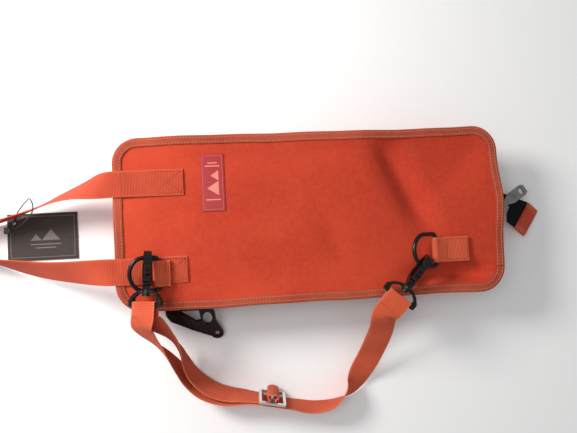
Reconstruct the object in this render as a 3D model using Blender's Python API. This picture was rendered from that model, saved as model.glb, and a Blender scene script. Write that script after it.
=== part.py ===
"""Flat zipped gear bag: webbing carry handle, clip-on shoulder strap, hang tag and label.

The bag lies on its back on the floor, so +Z points out of its front panel. X runs along its
length, from the carry handle at -X to the zip tail at +X. The origin is on the floor under
the middle of the bag. Sizes below are in millimetres and the scene is in metres.
"""

import math

import bmesh
import bpy
from mathutils import Matrix, Vector

MM = 0.001
GAP = 0.3

# Bag shell
BAG_LENGTH = 378.0
BAG_WIDTH = 165.0
BAG_CORNER = 25.0
BAG_HEIGHT = 51.3
CLOTH = 1.0
SEAM_DEPTH = 9.0
TAPE_WALL = 0.7
BINDING_HEIGHT = 2 * TAPE_WALL + 2 * CLOTH + 3 * GAP
CORNER_STEPS = 7
FRONT_TOP = BAG_HEIGHT - TAPE_WALL - GAP
FLOOR_SIDE = TAPE_WALL + GAP
SAG_EDGE = SEAM_DEPTH + 0.5

# Zip
ZIP_MID = 25.0
ZIP_HALF = 7.0
COIL_RADIUS = 1.5
ZIP_END_RIGHT = 4.0
ZIP_END_LEFT = -150.0

# Webbing
WEB = 25.0
WEB_THICK = 1.3
RUN_STEP = 6.0

# Ring and clip hardware
RING_WIRE = 2.0
RING_HALF = 15.5
RING_LEG = 13.0
RING_CORNER = 3.0
TAB_WIDTH = 24.0
JAW_THICK = 7.0
EYE_IN = 5.2
EYE_OUT = 8.7
SHANK_MID = -3.5
SHANK_HALF = 3.2
SHANK_END = 27.0
PIN_RADIUS = 2.2
BASE_START = SHANK_END + GAP
BASE_BAR = 3.6
BASE_WINDOW = 8.4
BASE_HALF = 18.0
BASE_THICK = 4.4
COLLAR_RADIUS = 4.6
FOLD_BAR = BASE_START + BASE_BAR + BASE_WINDOW + BASE_BAR / 2
FOLD_REACH = BASE_THICK / 2 + GAP + WEB_THICK / 2
GATE_PIVOT_B = 19.0
GATE_START = 3.8


def point(x, y, z):
    """A place given in millimetres, as a vector in metres."""
    return Vector((x, y, z)) * MM


# ---------------------------------------------------------------- materials

def material(name, colour, roughness, metallic=0.0):
    """A Principled material with one colour."""
    made = bpy.data.materials.get(name)
    if made:
        return made
    made = bpy.data.materials.new(name)
    made.use_nodes = True
    shader = made.node_tree.nodes["Principled BSDF"]
    shader.inputs["Base Color"].default_value = (*colour, 1.0)
    shader.inputs["Roughness"].default_value = roughness
    shader.inputs["Metallic"].default_value = metallic
    made.diffuse_color = (*colour, 1.0)
    return made


def shell_cloth():
    return material("shell_cloth", (0.72, 0.09, 0.03), 0.8)


def binding_tape():
    return material("binding_tape", (0.60, 0.13, 0.05), 0.85)


def orange_webbing():
    return material("orange_webbing", (0.66, 0.10, 0.04), 0.8)


def label_weave():
    return material("label_weave", (0.50, 0.02, 0.04), 0.7)


def black_plastic():
    return material("black_plastic", (0.012, 0.012, 0.013), 0.35)


def black_tape():
    return material("black_tape", (0.010, 0.010, 0.012), 0.85)


def bright_metal():
    return material("bright_metal", (0.70, 0.70, 0.70), 0.25, 1.0)


def grey_metal():
    return material("grey_metal", (0.30, 0.31, 0.29), 0.45, 1.0)


def tag_card():
    return material("tag_card", (0.035, 0.025, 0.022), 0.6)


def tag_elastic():
    return material("tag_elastic", (0.02, 0.02, 0.02), 0.7)


# ---------------------------------------------------------------- mesh helpers

def finish_mesh(name, mesh_builder, finish, smooth_angle=None):
    """Turns a bmesh into a named object with outward faces."""
    bmesh.ops.recalc_face_normals(mesh_builder, faces=mesh_builder.faces)
    mesh = bpy.data.meshes.new(name)
    mesh_builder.to_mesh(mesh)
    mesh_builder.free()
    mesh.materials.append(finish)
    if smooth_angle:
        mesh.shade_smooth()
        mesh.set_sharp_from_angle(angle=math.radians(smooth_angle))
    made = bpy.data.objects.new(name, mesh)
    bpy.context.scene.collection.objects.link(made)
    return made


def loops_to_solid(name, loops, finish, closed=False, smooth_angle=None):
    """Joins equal loops of points into one solid, capped at its ends unless it is a ring."""
    build = bmesh.new()
    rows = [[build.verts.new(p) for p in loop] for loop in loops]
    count = len(rows[0])
    pairs = list(zip(rows, rows[1:]))
    if closed:
        pairs.append((rows[-1], rows[0]))
    for first, second in pairs:
        for i in range(count):
            j = (i + 1) % count
            build.faces.new((first[i], first[j], second[j], second[i]))
    if not closed:
        build.faces.new(rows[0])
        build.faces.new(rows[-1])
    return finish_mesh(name, build, finish, smooth_angle)


def plate(name, outline, low, high, finish):
    """An outline in X and Y, in millimetres, made solid between two heights."""
    loops = [[point(x, y, z) for x, y in outline] for z in (low, high)]
    return loops_to_solid(name, loops, finish)


def framed_plate(name, outline, frame, thickness, finish):
    """An outline in a frame's first two axes, in millimetres, of even thickness about it."""
    origin, first, second, normal = frame
    loops = []
    for side in (-0.5, 0.5):
        lift = normal * (side * thickness * MM)
        loops.append([origin + first * (a * MM) + second * (b * MM) + lift for a, b in outline])
    return loops_to_solid(name, loops, finish)


def arc(centre_a, centre_b, radius_a, radius_b, start, end, steps):
    """Points along an elliptical arc, with angles in degrees."""
    found = []
    for i in range(steps + 1):
        angle = math.radians(start + (end - start) * i / steps)
        found.append((centre_a + radius_a * math.cos(angle), centre_b + radius_b * math.sin(angle)))
    return found


def rounded_rectangle(length, width, corner, grow=0.0):
    """A rounded rectangle about the origin, pushed outwards by grow."""
    found = []
    inner_x = length / 2 - corner
    inner_y = width / 2 - corner
    radius = corner + grow
    for sign_x, sign_y, start in ((1, 1, 0), (-1, 1, 90), (-1, -1, 180), (1, -1, 270)):
        found += arc(sign_x * inner_x, sign_y * inner_y, radius, radius, start, start + 90, CORNER_STEPS)
    return found


def perimeter_ring(name, profile, finish):
    """A section of (distance out from the bag's edge, height) carried round the bag."""
    rows = [
        [point(x, y, height) for x, y in rounded_rectangle(BAG_LENGTH, BAG_WIDTH, BAG_CORNER, out)]
        for out, height in profile
    ]
    loops = [[row[i] for row in rows] for i in range(len(rows[0]))]
    return loops_to_solid(name, loops, finish, closed=True)


def smooth_route(stations, step):
    """Points and rolls along a Catmull-Rom curve through stations of (x, y, z, roll)."""
    values = [Vector((*s[:3], s[3])) for s in stations]
    values = [2 * values[0] - values[1]] + values + [2 * values[-1] - values[-2]]
    found = []
    for i in range(1, len(values) - 2):
        before, start, end, after = values[i - 1:i + 3]
        count = max(2, round((end - start).xyz.length / step))
        for k in range(count):
            t = k / count
            found.append(0.5 * (
                2 * start
                + (end - before) * t
                + (2 * before - 5 * start + 4 * end - after) * t * t
                + (3 * start - before - 3 * end + after) * t ** 3
            ))
    found.append(values[-2])
    return found


def ribbon(name, stations, finish, width=WEB, thick=WEB_THICK, step=RUN_STEP, first_side=None, last_side=None):
    """Webbing along stations of (x, y, z, roll). At roll 0 it lies flat, and roll turns it about its run."""
    route = smooth_route(stations, step)
    loops = []
    for i, place in enumerate(route):
        ahead = route[min(i + 1, len(route) - 1)].xyz
        behind = route[max(i - 1, 0)].xyz
        along = (ahead - behind).normalized()
        level = Vector((0, 0, 1)).cross(along).normalized()
        rise = along.cross(level)
        roll = math.radians(place[3])
        side = level * math.cos(roll) + rise * math.sin(roll)
        if i == 0 and first_side:
            side = first_side
        if i == len(route) - 1 and last_side:
            side = last_side
        face = along.cross(side).normalized()
        middle = place.xyz * MM
        half_side = side * (width / 2 * MM)
        half_face = face * (thick / 2 * MM)
        loops.append([
            middle + half_side + half_face,
            middle - half_side + half_face,
            middle - half_side - half_face,
            middle + half_side - half_face,
        ])
    return loops_to_solid(name, loops, finish)


def folded_strip(name, path, frame, width, thick, finish):
    """A strip bent along a path in a frame's first two axes, with its width along the third."""
    origin, first, second, normal = frame
    outer, inner = [], []
    for i, place in enumerate(path):
        here = Vector(place)
        ahead = Vector(path[min(i + 1, len(path) - 1)])
        behind = Vector(path[max(i - 1, 0)])
        along = (ahead - behind).normalized()
        out = Vector((along.y, -along.x)) * (thick / 2)
        outer.append(here + out)
        inner.append(here - out)
    outline = outer + inner[::-1]
    loops = []
    for side in (-0.5, 0.5):
        shift = normal * (side * width * MM)
        loops.append([origin + first * (p.x * MM) + second * (p.y * MM) + shift for p in outline])
    return loops_to_solid(name, loops, finish)


def wire_ring(name, path, radius, finish, sides=8):
    """A round wire along a flat closed path of points in metres."""
    normal = (path[1] - path[0]).cross(path[len(path) // 2] - path[0]).normalized()
    loops = []
    for i, place in enumerate(path):
        along = (path[(i + 1) % len(path)] - path[i - 1]).normalized()
        out = along.cross(normal)
        loops.append([
            place + (out * math.cos(k * math.tau / sides) + normal * math.sin(k * math.tau / sides)) * radius * MM
            for k in range(sides)
        ])
    return loops_to_solid(name, loops, finish, closed=True, smooth_angle=50)


def cut(target, cutter, operation="DIFFERENCE"):
    """Takes a cutter away from a piece, or adds it to it, and removes the cutter."""
    change = target.modifiers.new("cut", "BOOLEAN")
    change.operation = operation
    change.solver = "EXACT"
    change.object = cutter
    bpy.context.view_layer.update()
    shape = bpy.data.meshes.new_from_object(target.evaluated_get(bpy.context.evaluated_depsgraph_get()))
    target.modifiers.clear()
    target.data = shape
    bpy.data.objects.remove(cutter)


# ---------------------------------------------------------------- bag shell

def front_panel():
    outline = rounded_rectangle(BAG_LENGTH, BAG_WIDTH, BAG_CORNER, -TAPE_WALL - GAP)
    plate("front_panel", outline, FRONT_TOP - CLOTH, FRONT_TOP, shell_cloth())


def rear_panel():
    """The back: its edge is up inside the bound seam, and its middle sags flat to the floor."""
    steps = [(-SAG_EDGE - 1, 0.0), (-SAG_EDGE, FLOOR_SIDE), (-TAPE_WALL - GAP, FLOOR_SIDE),
             (-TAPE_WALL - GAP, FLOOR_SIDE + CLOTH), (-SAG_EDGE - 1.5, FLOOR_SIDE + CLOTH), (-SAG_EDGE - 2.5, CLOTH)]
    loops = [
        [point(x, y, height) for x, y in rounded_rectangle(BAG_LENGTH, BAG_WIDTH, BAG_CORNER, out)]
        for out, height in steps
    ]
    loops_to_solid("rear_panel", loops, shell_cloth())


def binding(name, low):
    """Folded tape over the seam of a panel and the side wall, from low up."""
    high = low + BINDING_HEIGHT
    wing = -SEAM_DEPTH + 2 * GAP
    profile = [
        (0, low), (0, high), (wing, high), (wing, high - TAPE_WALL),
        (-TAPE_WALL, high - TAPE_WALL), (-TAPE_WALL, low + TAPE_WALL),
        (wing, low + TAPE_WALL), (wing, low),
    ]
    perimeter_ring(name, profile, binding_tape())


def side_walls():
    """The two halves of the side wall, above and below the zip, each with its seam turned out."""
    wall = -SEAM_DEPTH
    lip = -TAPE_WALL - GAP
    top = FRONT_TOP - CLOTH - GAP
    above = ZIP_MID + ZIP_HALF + GAP
    front = [(wall - CLOTH, above), (wall, above), (wall, top - CLOTH), (lip, top - CLOTH), (lip, top),
             (wall - CLOTH, top)]
    perimeter_ring("side_wall_front", front, shell_cloth())
    low = FLOOR_SIDE + CLOTH + GAP
    below = ZIP_MID - ZIP_HALF - GAP
    rear = [(wall - CLOTH, low), (lip, low), (lip, low + CLOTH), (wall, low + CLOTH), (wall, below),
            (wall - CLOTH, below)]
    perimeter_ring("side_wall_rear", rear, shell_cloth())


def wall_run(start_side, ends):
    """Points along the side wall's outer face, from the right end's middle the chosen way round."""
    whole = rounded_rectangle(BAG_LENGTH, BAG_WIDTH, BAG_CORNER, -SEAM_DEPTH)
    right_end = (BAG_LENGTH / 2 - SEAM_DEPTH, ZIP_END_RIGHT)
    long_edge = -BAG_WIDTH / 2 + SEAM_DEPTH
    corner = CORNER_STEPS + 1
    lower_right = whole[3 * corner:]
    if start_side == "zip":
        return [right_end] + lower_right[::-1] + [(ZIP_END_LEFT, long_edge)]
    upper_right, upper_left, lower_left = whole[:corner], whole[corner:2 * corner], whole[2 * corner:3 * corner]
    start = (right_end[0], right_end[1] + ends)
    stop = (ZIP_END_LEFT - ends, long_edge)
    return [start] + upper_right + upper_left + lower_left + [stop]


def wall_band(name, run, section, finish):
    """A section of (distance out from the wall, height) carried along a run on the wall."""
    loops = []
    for i, (x, y) in enumerate(run):
        ahead = Vector(run[min(i + 1, len(run) - 1)])
        behind = Vector(run[max(i - 1, 0)])
        along = (ahead - behind).normalized()
        out = Vector((along.y, -along.x))
        if out.dot(Vector((x, y))) < 0:
            out = -out
        loops.append([point(x + out.x * d, y + out.y * d, height) for d, height in section])
    return loops_to_solid(name, loops, finish)


def zip_and_gusset():
    """The zip runs from the right end round the lower long side. Plain cloth joins the walls elsewhere."""
    low = ZIP_MID - ZIP_HALF
    high = ZIP_MID + ZIP_HALF
    strip = [(-CLOTH, low), (0, low), (0, high), (-CLOTH, high)]
    zip_run = wall_run("zip", GAP)
    wall_band("zip_tape", zip_run, strip, black_tape())
    wall_band("side_wall_join", wall_run("join", GAP), strip, shell_cloth())
    centre = COIL_RADIUS + GAP
    coil = arc(centre, ZIP_MID, COIL_RADIUS, COIL_RADIUS, 0, 300, 5)
    wall_band("zip_coil", zip_run, coil, black_tape())


def zip_tail():
    """The tape's loose end, which leaves the right end of the zip, with a webbing tab folded over it."""
    origin = point(BAG_LENGTH / 2 - SEAM_DEPTH + GAP, ZIP_END_RIGHT + 7, ZIP_MID)
    droop = math.radians(16)
    along = Vector((math.cos(droop), 0, -math.sin(droop)))
    across = Vector((0, 1, 0))
    frame = (origin, along, across, along.cross(across))
    tape = [(0, -5), (31, -6), (37, -9), (33, -16), (32, -25), (40.5, -31), (61, -5), (45, 0), (30, 5), (0, 5)]
    framed_plate("zip_tail", tape, frame, 1.2, black_tape())
    start = Vector((40.5, -31))
    end = Vector((61, -5))
    run = (end - start).normalized()
    out = Vector((run.y, -run.x))
    near = start + out * GAP
    tab = [near, near + out * 16, near + out * 16 + run * 33, near + run * 33]
    framed_plate("zip_end_tab", [tuple(p) for p in tab], frame, 3.6, orange_webbing())


def label_patch():
    outline = [(-105, 9), (-83, 9), (-83, 64), (-105, 64)]
    plate("label_patch", outline, FRONT_TOP + GAP, FRONT_TOP + GAP + 0.6, label_weave())


# ---------------------------------------------------------------- carry handle and tag

HANDLE_HINGE = -180.0
HANDLE_Z = FRONT_TOP + GAP + TAPE_WALL + GAP + WEB_THICK / 2 + 0.4
HANDLE_ROUTE = [
    (HANDLE_HINGE - GAP, 38.5, HANDLE_Z, 0),
    (-187, 38.4, HANDLE_Z, 0),
    (-194, 38.0, HANDLE_Z - 0.2, 4),
    (-206, 37.0, 49.0, 24),
    (-224, 35.0, 39.5, 52),
    (-244, 30.5, 30.0, 68),
    (-264, 23.5, 23.5, 78),
    (-284, 17.5, 18.5, 84),
    (-304, 11.5, 16.2, 88),
    (-324, 7.0, 14.5, 90),
    (-340, 3.5, 13.6, 90),
    (-350, -4.5, 13.4, 90),
    (-347, -14.5, 13.4, 90),
    (-335, -21.5, 13.6, 88),
    (-318, -27.0, 14.6, 82),
    (-300, -31.5, 17.0, 70),
    (-280, -36.0, 21.0, 58),
    (-258, -40.0, 27.5, 48),
    (-234, -42.5, 36.0, 36),
    (-212, -43.7, 46.5, 20),
    (-196, -44.2, HANDLE_Z - 0.2, 4),
    (-187, -44.4, HANDLE_Z, 0),
    (HANDLE_HINGE - GAP, -44.5, HANDLE_Z, 0),
]


def handle_anchor(name, middle, end, finish):
    """The sewn end of the handle: flat on the panel, then over the binding as far as the hinge line."""
    sewn = FRONT_TOP + GAP + WEB_THICK / 2
    side = Vector((0, 1, 0))
    route = [(end, middle, sewn, 0), (-146, middle, sewn, 0), (-158, middle, sewn, 0),
             (-170, middle, sewn + 0.4, 0), (HANDLE_HINGE, middle, HANDLE_Z, 0)]
    ribbon(name, route, finish, first_side=side, last_side=side)


def carry_handle():
    finish = orange_webbing()
    handle_anchor("handle_anchor_upper", 38.5, -122, finish)
    handle_anchor("handle_anchor_lower", -44.5, -121, finish)
    side = Vector((0, 1, 0))
    ribbon("handle_strap", HANDLE_ROUTE, finish, step=8, first_side=-side, last_side=side)


TAG_LOW = 0.4
TAG_THICK = 0.6
TAG_HOLE = (-297.0, 9.5)
CORD_RADIUS = 0.6
CORD_ROUTE = [
    (-297.0, 9.0, 1.95),
    (-296.0, 14.0, 1.95),
    (-292.0, 21.0, 2.6),
    (-286.0, 26.5, 7.0),
    (-279.0, 30.0, 16.0),
    (-273.0, 31.0, 27.0),
    (-268.0, 28.5, 36.0),
    (-265.5, 22.5, 38.6),
    (-268.0, 16.5, 34.5),
    (-276.0, 11.5, 24.0),
    (-286.0, 7.0, 12.5),
    (-294.0, 3.6, 4.6),
    (-299.0, 2.2, 2.5),
]


def hang_tag():
    outline = [(-303.5, -29), (-234.5, -29), (-234.5, 18.5), (-303.5, 18.5)]
    tag = plate("hang_tag", outline, TAG_LOW, TAG_LOW + TAG_THICK, tag_card())
    hole = plate("hole", arc(*TAG_HOLE, 1.8, 1.8, 0, 345, 23), -1, 3, tag_card())
    cut(tag, hole)
    toggle = [(-306, -1.4), (-299.6, 0.4), (-299.6, 4.0), (-306, 5.8)]
    plate("tag_toggle", toggle, TAG_LOW + TAG_THICK + GAP, TAG_LOW + TAG_THICK + GAP + 2.4, black_plastic())


def tag_cord():
    """Thin elastic from the tag's eye, under and round the handle's strand, to its toggle."""
    route = smooth_route([(*p, 0) for p in CORD_ROUTE], 2.4)
    curve = bpy.data.curves.new("tag_cord", "CURVE")
    curve.dimensions = "3D"
    curve.bevel_depth = CORD_RADIUS * MM
    curve.bevel_resolution = 2
    curve.use_fill_caps = True
    spline = curve.splines.new("POLY")
    spline.points.add(len(route) - 1)
    for target, place in zip(spline.points, route):
        target.co = (*(place.xyz * MM), 1.0)
    curve.materials.append(tag_elastic())
    bpy.context.scene.collection.objects.link(bpy.data.objects.new("tag_cord", curve))


# ---------------------------------------------------------------- rings and clips

def tab_and_ring(side, bar, lean, roll, slack, tail_end):
    """A webbing tab folded round the straight side of a plastic D-ring, which leans out of the loop."""
    frame = (point(*bar), Vector((1, 0, 0)), Vector((0, 0, 1)), Vector((0, 1, 0)))
    bend = RING_WIRE + GAP + WEB_THICK / 2 + slack
    flat = -bend
    length = tail_end - bar[0]
    path = [(length, flat + WEB_THICK + 0.4), (8.5, flat + WEB_THICK + 0.4)]
    path += arc(0, 0, bend, bend, 68, 270, 9)
    path += [(length, flat)]
    folded_strip(f"ring_tab_{side}", path, frame, TAB_WIDTH, WEB_THICK, orange_webbing())
    rise = math.radians(lean)
    cant = math.radians(roll)
    bow = Vector((-math.cos(rise), 0, math.sin(rise)))
    cross = Matrix.Rotation(cant, 3, Vector((1, 0, 0))) @ Vector((0, 1, 0))
    outline = arc(RING_CORNER, RING_HALF - RING_CORNER, RING_CORNER, RING_CORNER, 180, 90, 3)
    outline += arc(RING_LEG, 0, RING_LEG, RING_HALF, 90, -90, 12)
    outline += arc(RING_CORNER, -RING_HALF + RING_CORNER, RING_CORNER, RING_CORNER, 270, 180, 3)
    path = [point(*bar) + bow * (a * MM) + cross * (b * MM) for a, b in outline]
    wire_ring(f"d_ring_{side}", path, RING_WIRE, black_plastic())


def clip_frames(eye, heading, pitch, jaw_turn, base_turn):
    """The frames of a clip's jaw and base: across to the spine, along to the base, and thickness."""
    turn, drop = math.radians(heading), math.radians(pitch)
    along = Vector((math.cos(turn) * math.cos(drop), math.sin(turn) * math.cos(drop), math.sin(drop)))
    level = Vector((0, 0, 1)).cross(along).normalized()
    frames = []
    for angle in (jaw_turn, base_turn):
        across = Matrix.Rotation(math.radians(angle), 3, along) @ level
        frames.append((point(*eye), across, along, across.cross(along)))
    return frames


def clip_jaw(side, frame):
    outline = [(-EYE_OUT, 3.5)]
    outline += arc(0, 0, EYE_OUT, EYE_OUT, 180, 360, 12)
    outline += [(EYE_OUT, 13.0), (6.0, 20.0), (SHANK_MID + SHANK_HALF, 24.0), (SHANK_MID + SHANK_HALF, SHANK_END)]
    outline += [(SHANK_MID - SHANK_HALF, SHANK_END), (SHANK_MID - SHANK_HALF, 24.0), (-EYE_OUT, 22.0)]
    outline += [(-EYE_OUT, 20.6), (-EYE_IN, 20.6), (-3.5, 17.0), (2.5, 17.0), (EYE_IN, 13.0)]
    outline += arc(0, 0, EYE_IN, EYE_IN, 360, 180, 10)
    outline += [(-EYE_IN, 3.5)]
    jaw = framed_plate(f"clip_jaw_{side}", outline, frame, JAW_THICK, black_plastic())
    origin, across, along, _ = frame
    centre = origin + across * (SHANK_MID * MM)
    pin = turned_stem("pin", centre, along, [
        (SHANK_END - 1.0, PIN_RADIUS), (BASE_START + BASE_BAR + GAP, PIN_RADIUS),
        (BASE_START + BASE_BAR + GAP, 3.6), (BASE_START + BASE_BAR + GAP + 1.8, 3.6),
    ])
    cut(jaw, pin, "UNION")
    return jaw


def turned_stem(name, centre, along, stations, sides=12):
    """A round solid about an axis, through stations of (distance along, radius)."""
    first = along.orthogonal().normalized()
    second = along.cross(first)
    loops = []
    for distance, radius in stations:
        middle = centre + along * (distance * MM)
        loops.append([
            middle + (first * math.cos(k * math.tau / sides) + second * math.sin(k * math.tau / sides)) * radius * MM
            for k in range(sides)
        ])
    return loops_to_solid(name, loops, black_plastic())


def clip_gate(side, frame):
    """The sprung gate that closes the jaw's mouth, with its thumb stud."""
    inner = -EYE_IN - 0.2
    outline = [(-EYE_OUT, GATE_START), (inner, GATE_START), (inner, GATE_PIVOT_B + 0.4), (-EYE_OUT, GATE_PIVOT_B + 0.4),
               (-EYE_OUT, 14.5), (-EYE_OUT - 2.2, 13.0), (-EYE_OUT - 2.2, 10.5), (-EYE_OUT, 9.5)]
    framed_plate(f"clip_gate_{side}", outline, frame, JAW_THICK - 1.6, black_plastic())


def clip_base(side, frame, jaw_frame):
    """The swivelling loop that the strap is sewn round."""
    start = BASE_START
    stop = start + 2 * BASE_BAR + BASE_WINDOW
    outline = [(-6.5, start), (6.5, start), (13, start + 3.6), (BASE_HALF, start + 9), (BASE_HALF, stop - 1.5),
               (BASE_HALF - 1.5, stop), (-BASE_HALF + 1.5, stop), (-BASE_HALF, stop - 1.5), (-BASE_HALF, start + 9),
               (-13, start + 3.6)]
    origin, across, along, normal = frame
    shank = origin + jaw_frame[1] * (SHANK_MID * MM)
    placed = (shank, across, along, normal)
    base = framed_plate(f"clip_base_{side}", outline, placed, BASE_THICK, black_plastic())
    half = BASE_HALF - 4.6
    low = start + BASE_BAR
    high = low + BASE_WINDOW
    opening = [(-8.5, low), (8.5, low), (half, low + 4), (half, high), (-half, high), (-half, low + 4)]
    window = framed_plate("window", opening, placed, 20, black_plastic())
    cut(base, window)
    collar = turned_stem("collar", shank, along, [(start + GAP, COLLAR_RADIUS), (low - GAP, COLLAR_RADIUS)])
    cut(base, collar, "UNION")
    bore = turned_stem("bore", shank, along, [(start - 2, PIN_RADIUS + GAP), (low + 2, PIN_RADIUS + GAP)])
    cut(base, bore)
    return placed


def strap_fold(name, placed, tail, spread):
    """The end of a strap folded round the base's far bar, in the plane of its length and thickness."""
    origin, across, along, normal = placed
    frame = (origin, along, normal, across)
    bar = FOLD_BAR
    reach = FOLD_REACH
    near = bar - BASE_BAR / 2 - GAP - WEB_THICK / 2
    bend = 0.9
    path = [(tail, spread), (bar + 3, reach), (bar - 1, reach), (near + bend, reach), (near, reach - bend)]
    path += [(a, -b) for a, b in path[::-1]]
    folded_strip(name, path, frame, WEB, WEB_THICK, orange_webbing())


CLIP_RIGHT = dict(eye=(104.7, -51.6, 60.9), heading=229.0, pitch=-6.0, jaw_turn=-90.0, base_turn=0.0)
CLIP_LEFT = dict(eye=(-156.9, -34.4, 61.9), heading=266.0, pitch=5.0, jaw_turn=-102.0, base_turn=30.0)
RIGHT_TAIL = 54.0
RIGHT_SPREAD = WEB_THICK / 2 + 0.2
LEFT_TAIL = 48.0
LEFT_SPREAD = 3.5


def clip(side, place, tail, spread):
    jaw_frame, base_frame = clip_frames(**place)
    clip_jaw(side, jaw_frame)
    clip_gate(side, jaw_frame)
    placed = clip_base(side, base_frame, jaw_frame)
    strap_fold(f"strap_fold_{side}", placed, tail, spread)
    return placed


# ---------------------------------------------------------------- zip sliders and pulls

def slider_body(name, centre, along, outward, finish):
    """A slider astride the coil: a plate outside it with a bridge that holds the pull."""
    up = Vector((0, 0, 1))
    frame = (point(*centre), along, up, outward)
    outline = [(-6, -3.4), (-3, -5), (4, -5), (6.5, -3), (6.5, 3), (4, 5), (-3, 5), (-6, 3.4)]
    body = framed_plate(name, outline, frame, 2.0, finish)
    middle = point(*centre) + outward * (1.8 * MM)
    arch = arc(0, 0, 3.6, 2.9, -25, 205, 8) + arc(0, 0, 2.3, 1.6, 205, -25, 8)
    bridge = framed_plate("bridge", arch, (middle, along, outward, up), 3.0, finish)
    cut(body, bridge, "UNION")
    return body


def metal_pull():
    """The right slider's stamped pull: a long neck and a plate with a slot."""
    pivot = point(*PULL_RIGHT)
    turn, drop = math.radians(32), math.radians(-4)
    along = Vector((math.cos(turn) * math.cos(drop), math.sin(turn) * math.cos(drop), math.sin(drop)))
    across = Vector((0, 0, 1)).cross(along).normalized()
    frame = (pivot, along, across, along.cross(across))
    outline = [(-0.4, -2.2), (9, -2.2), (20, -3.4), (27, -6.0), (43, -6.0), (46, -4.2), (46, 4.2), (43, 6.0),
               (27, 6.0), (20, 3.4), (9, 2.2), (-0.4, 2.2)]
    pull = framed_plate("zip_pull_right", outline, frame, 1.8, grey_metal())
    slot = framed_plate("slot", arc(40, 0, 2.2, 3.4, 0, 345, 15), frame, 12, grey_metal())
    cut(pull, slot)


def moulded_pull():
    """The left slider's big moulded pull: a triangular loop, a finger slot and a lanyard eye."""
    pivot = point(*PULL_LEFT)
    drop = math.radians(34)
    down = Vector((0, -math.cos(drop), -math.sin(drop)))
    along = Vector((1, 0, 0))
    frame = (pivot, along, down, along.cross(down))
    outline = [(-7, 0.6), (39, 0.6), (41, 8), (42, 18), (46.5, 28), (48.2, 32)]
    outline += arc(42, 34.5, 6.6, 6.6, 0, 150, 7)
    outline += [(18, 28.5), (-3, 16), (-7, 8)]
    pull = framed_plate("zip_pull_left", outline, frame, 2.6, black_plastic())
    gap = [(6, 3.4), (25.5, 3.4), (27.0, 16.5), (22, 17.5)]
    for hole in (gap, arc(33.5, 14, 4.6, 8.0, 0, 345, 15), arc(42, 34.5, 2.2, 3.4, 0, 345, 15)):
        cut(pull, framed_plate("hole", hole, frame, 12, black_plastic()))


PULL_RIGHT = (BAG_LENGTH / 2 - SEAM_DEPTH + 2 * COIL_RADIUS + 8.4, -4.0, ZIP_MID)
PULL_LEFT = (-140.0, -BAG_WIDTH / 2 + SEAM_DEPTH - 2 * COIL_RADIUS - 6.6, ZIP_MID)


def zip_sliders():
    out_right = BAG_LENGTH / 2 - SEAM_DEPTH + 2 * COIL_RADIUS + 2 * GAP + 1.0
    out_left = -BAG_WIDTH / 2 + SEAM_DEPTH - 2 * COIL_RADIUS - 2 * GAP - 1.0
    slider_body("zip_slider_right", (out_right, -4.0, ZIP_MID), Vector((0, -1, 0)), Vector((1, 0, 0)), grey_metal())
    slider_body("zip_slider_left", (-140.0, out_left, ZIP_MID), Vector((1, 0, 0)), Vector((0, -1, 0)), black_plastic())
    metal_pull()
    moulded_pull()


# ---------------------------------------------------------------- shoulder strap

SLIDE_CENTRE = (-45.9, -178.4, 16.4)
SLIDE_YAW = -12.0
SLIDE_LEAN = 101.0
SLIDE_HALF_LENGTH = 13.5
SLIDE_HALF_WIDTH = 16.0
SLIDE_THICK = 2.4
SLIDE_RAIL = 2.8
SLIDE_BAR = 3.2
PASS_REACH = 14.8  # the strap lies straight behind the slide for this far each way
INNER_BEHIND = 2.2
OUTER_BEHIND = 4.1


def slide_frame():
    """The tri-glide's frame: along the strap, up its width, and out of its visible face."""
    yaw = math.radians(SLIDE_YAW)
    lean = math.radians(SLIDE_LEAN)
    along = Vector((math.cos(yaw), math.sin(yaw), 0))
    level = Vector((0, 0, 1)).cross(along)
    side = level * math.cos(lean) + Vector((0, 0, 1)) * math.sin(lean)
    return point(*SLIDE_CENTRE), along, side, side.cross(along)


def slide_place(ahead, behind):
    """A place beside the slide's middle: so far along the strap, and behind the slide, in millimetres."""
    origin, along, _, out = slide_frame()
    return (*(origin / MM + along * ahead - out * behind), SLIDE_LEAN)


def fold_end(placed, tail, spread, ahead):
    """A place on the middle line of one layer of a strap fold, ahead of its free end, in millimetres."""
    origin, _, along, normal = placed
    rise = spread - math.copysign(FOLD_REACH, spread) if spread else 0.0
    run = Vector((tail - FOLD_BAR - 3, rise)).normalized() * (GAP + ahead)
    return (origin + along * ((tail + run.x) * MM) + normal * ((spread + run.y) * MM)) / MM


def strap_right_run(placed):
    """From the right clip over the bag's edge, down to the floor, folded over and on to the slide."""
    route = [
        (*fold_end(placed, RIGHT_TAIL, 0.0, 0.5), 0), (*fold_end(placed, RIGHT_TAIL, 0.0, 8), 0),
        (63, -114, 43, -3), (59.5, -129, 30, -5), (54.5, -144, 18.5, -9),
        (47.5, -158, 11.0, -16), (39, -171.5, 9.5, -38), (29, -182, 12.8, -72), (15, -189.7, 13.4, -96),
        (-1, -191.8, 12.9, -105), (-14, -190, 13.4, -106), (-24, -187.4, 14.6, -103),
        (*slide_place(PASS_REACH + GAP, OUTER_BEHIND)[:3], -SLIDE_LEAN),
    ]
    ribbon("strap_right_run", route, orange_webbing(), first_side=placed[1], last_side=-slide_frame()[2])


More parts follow.
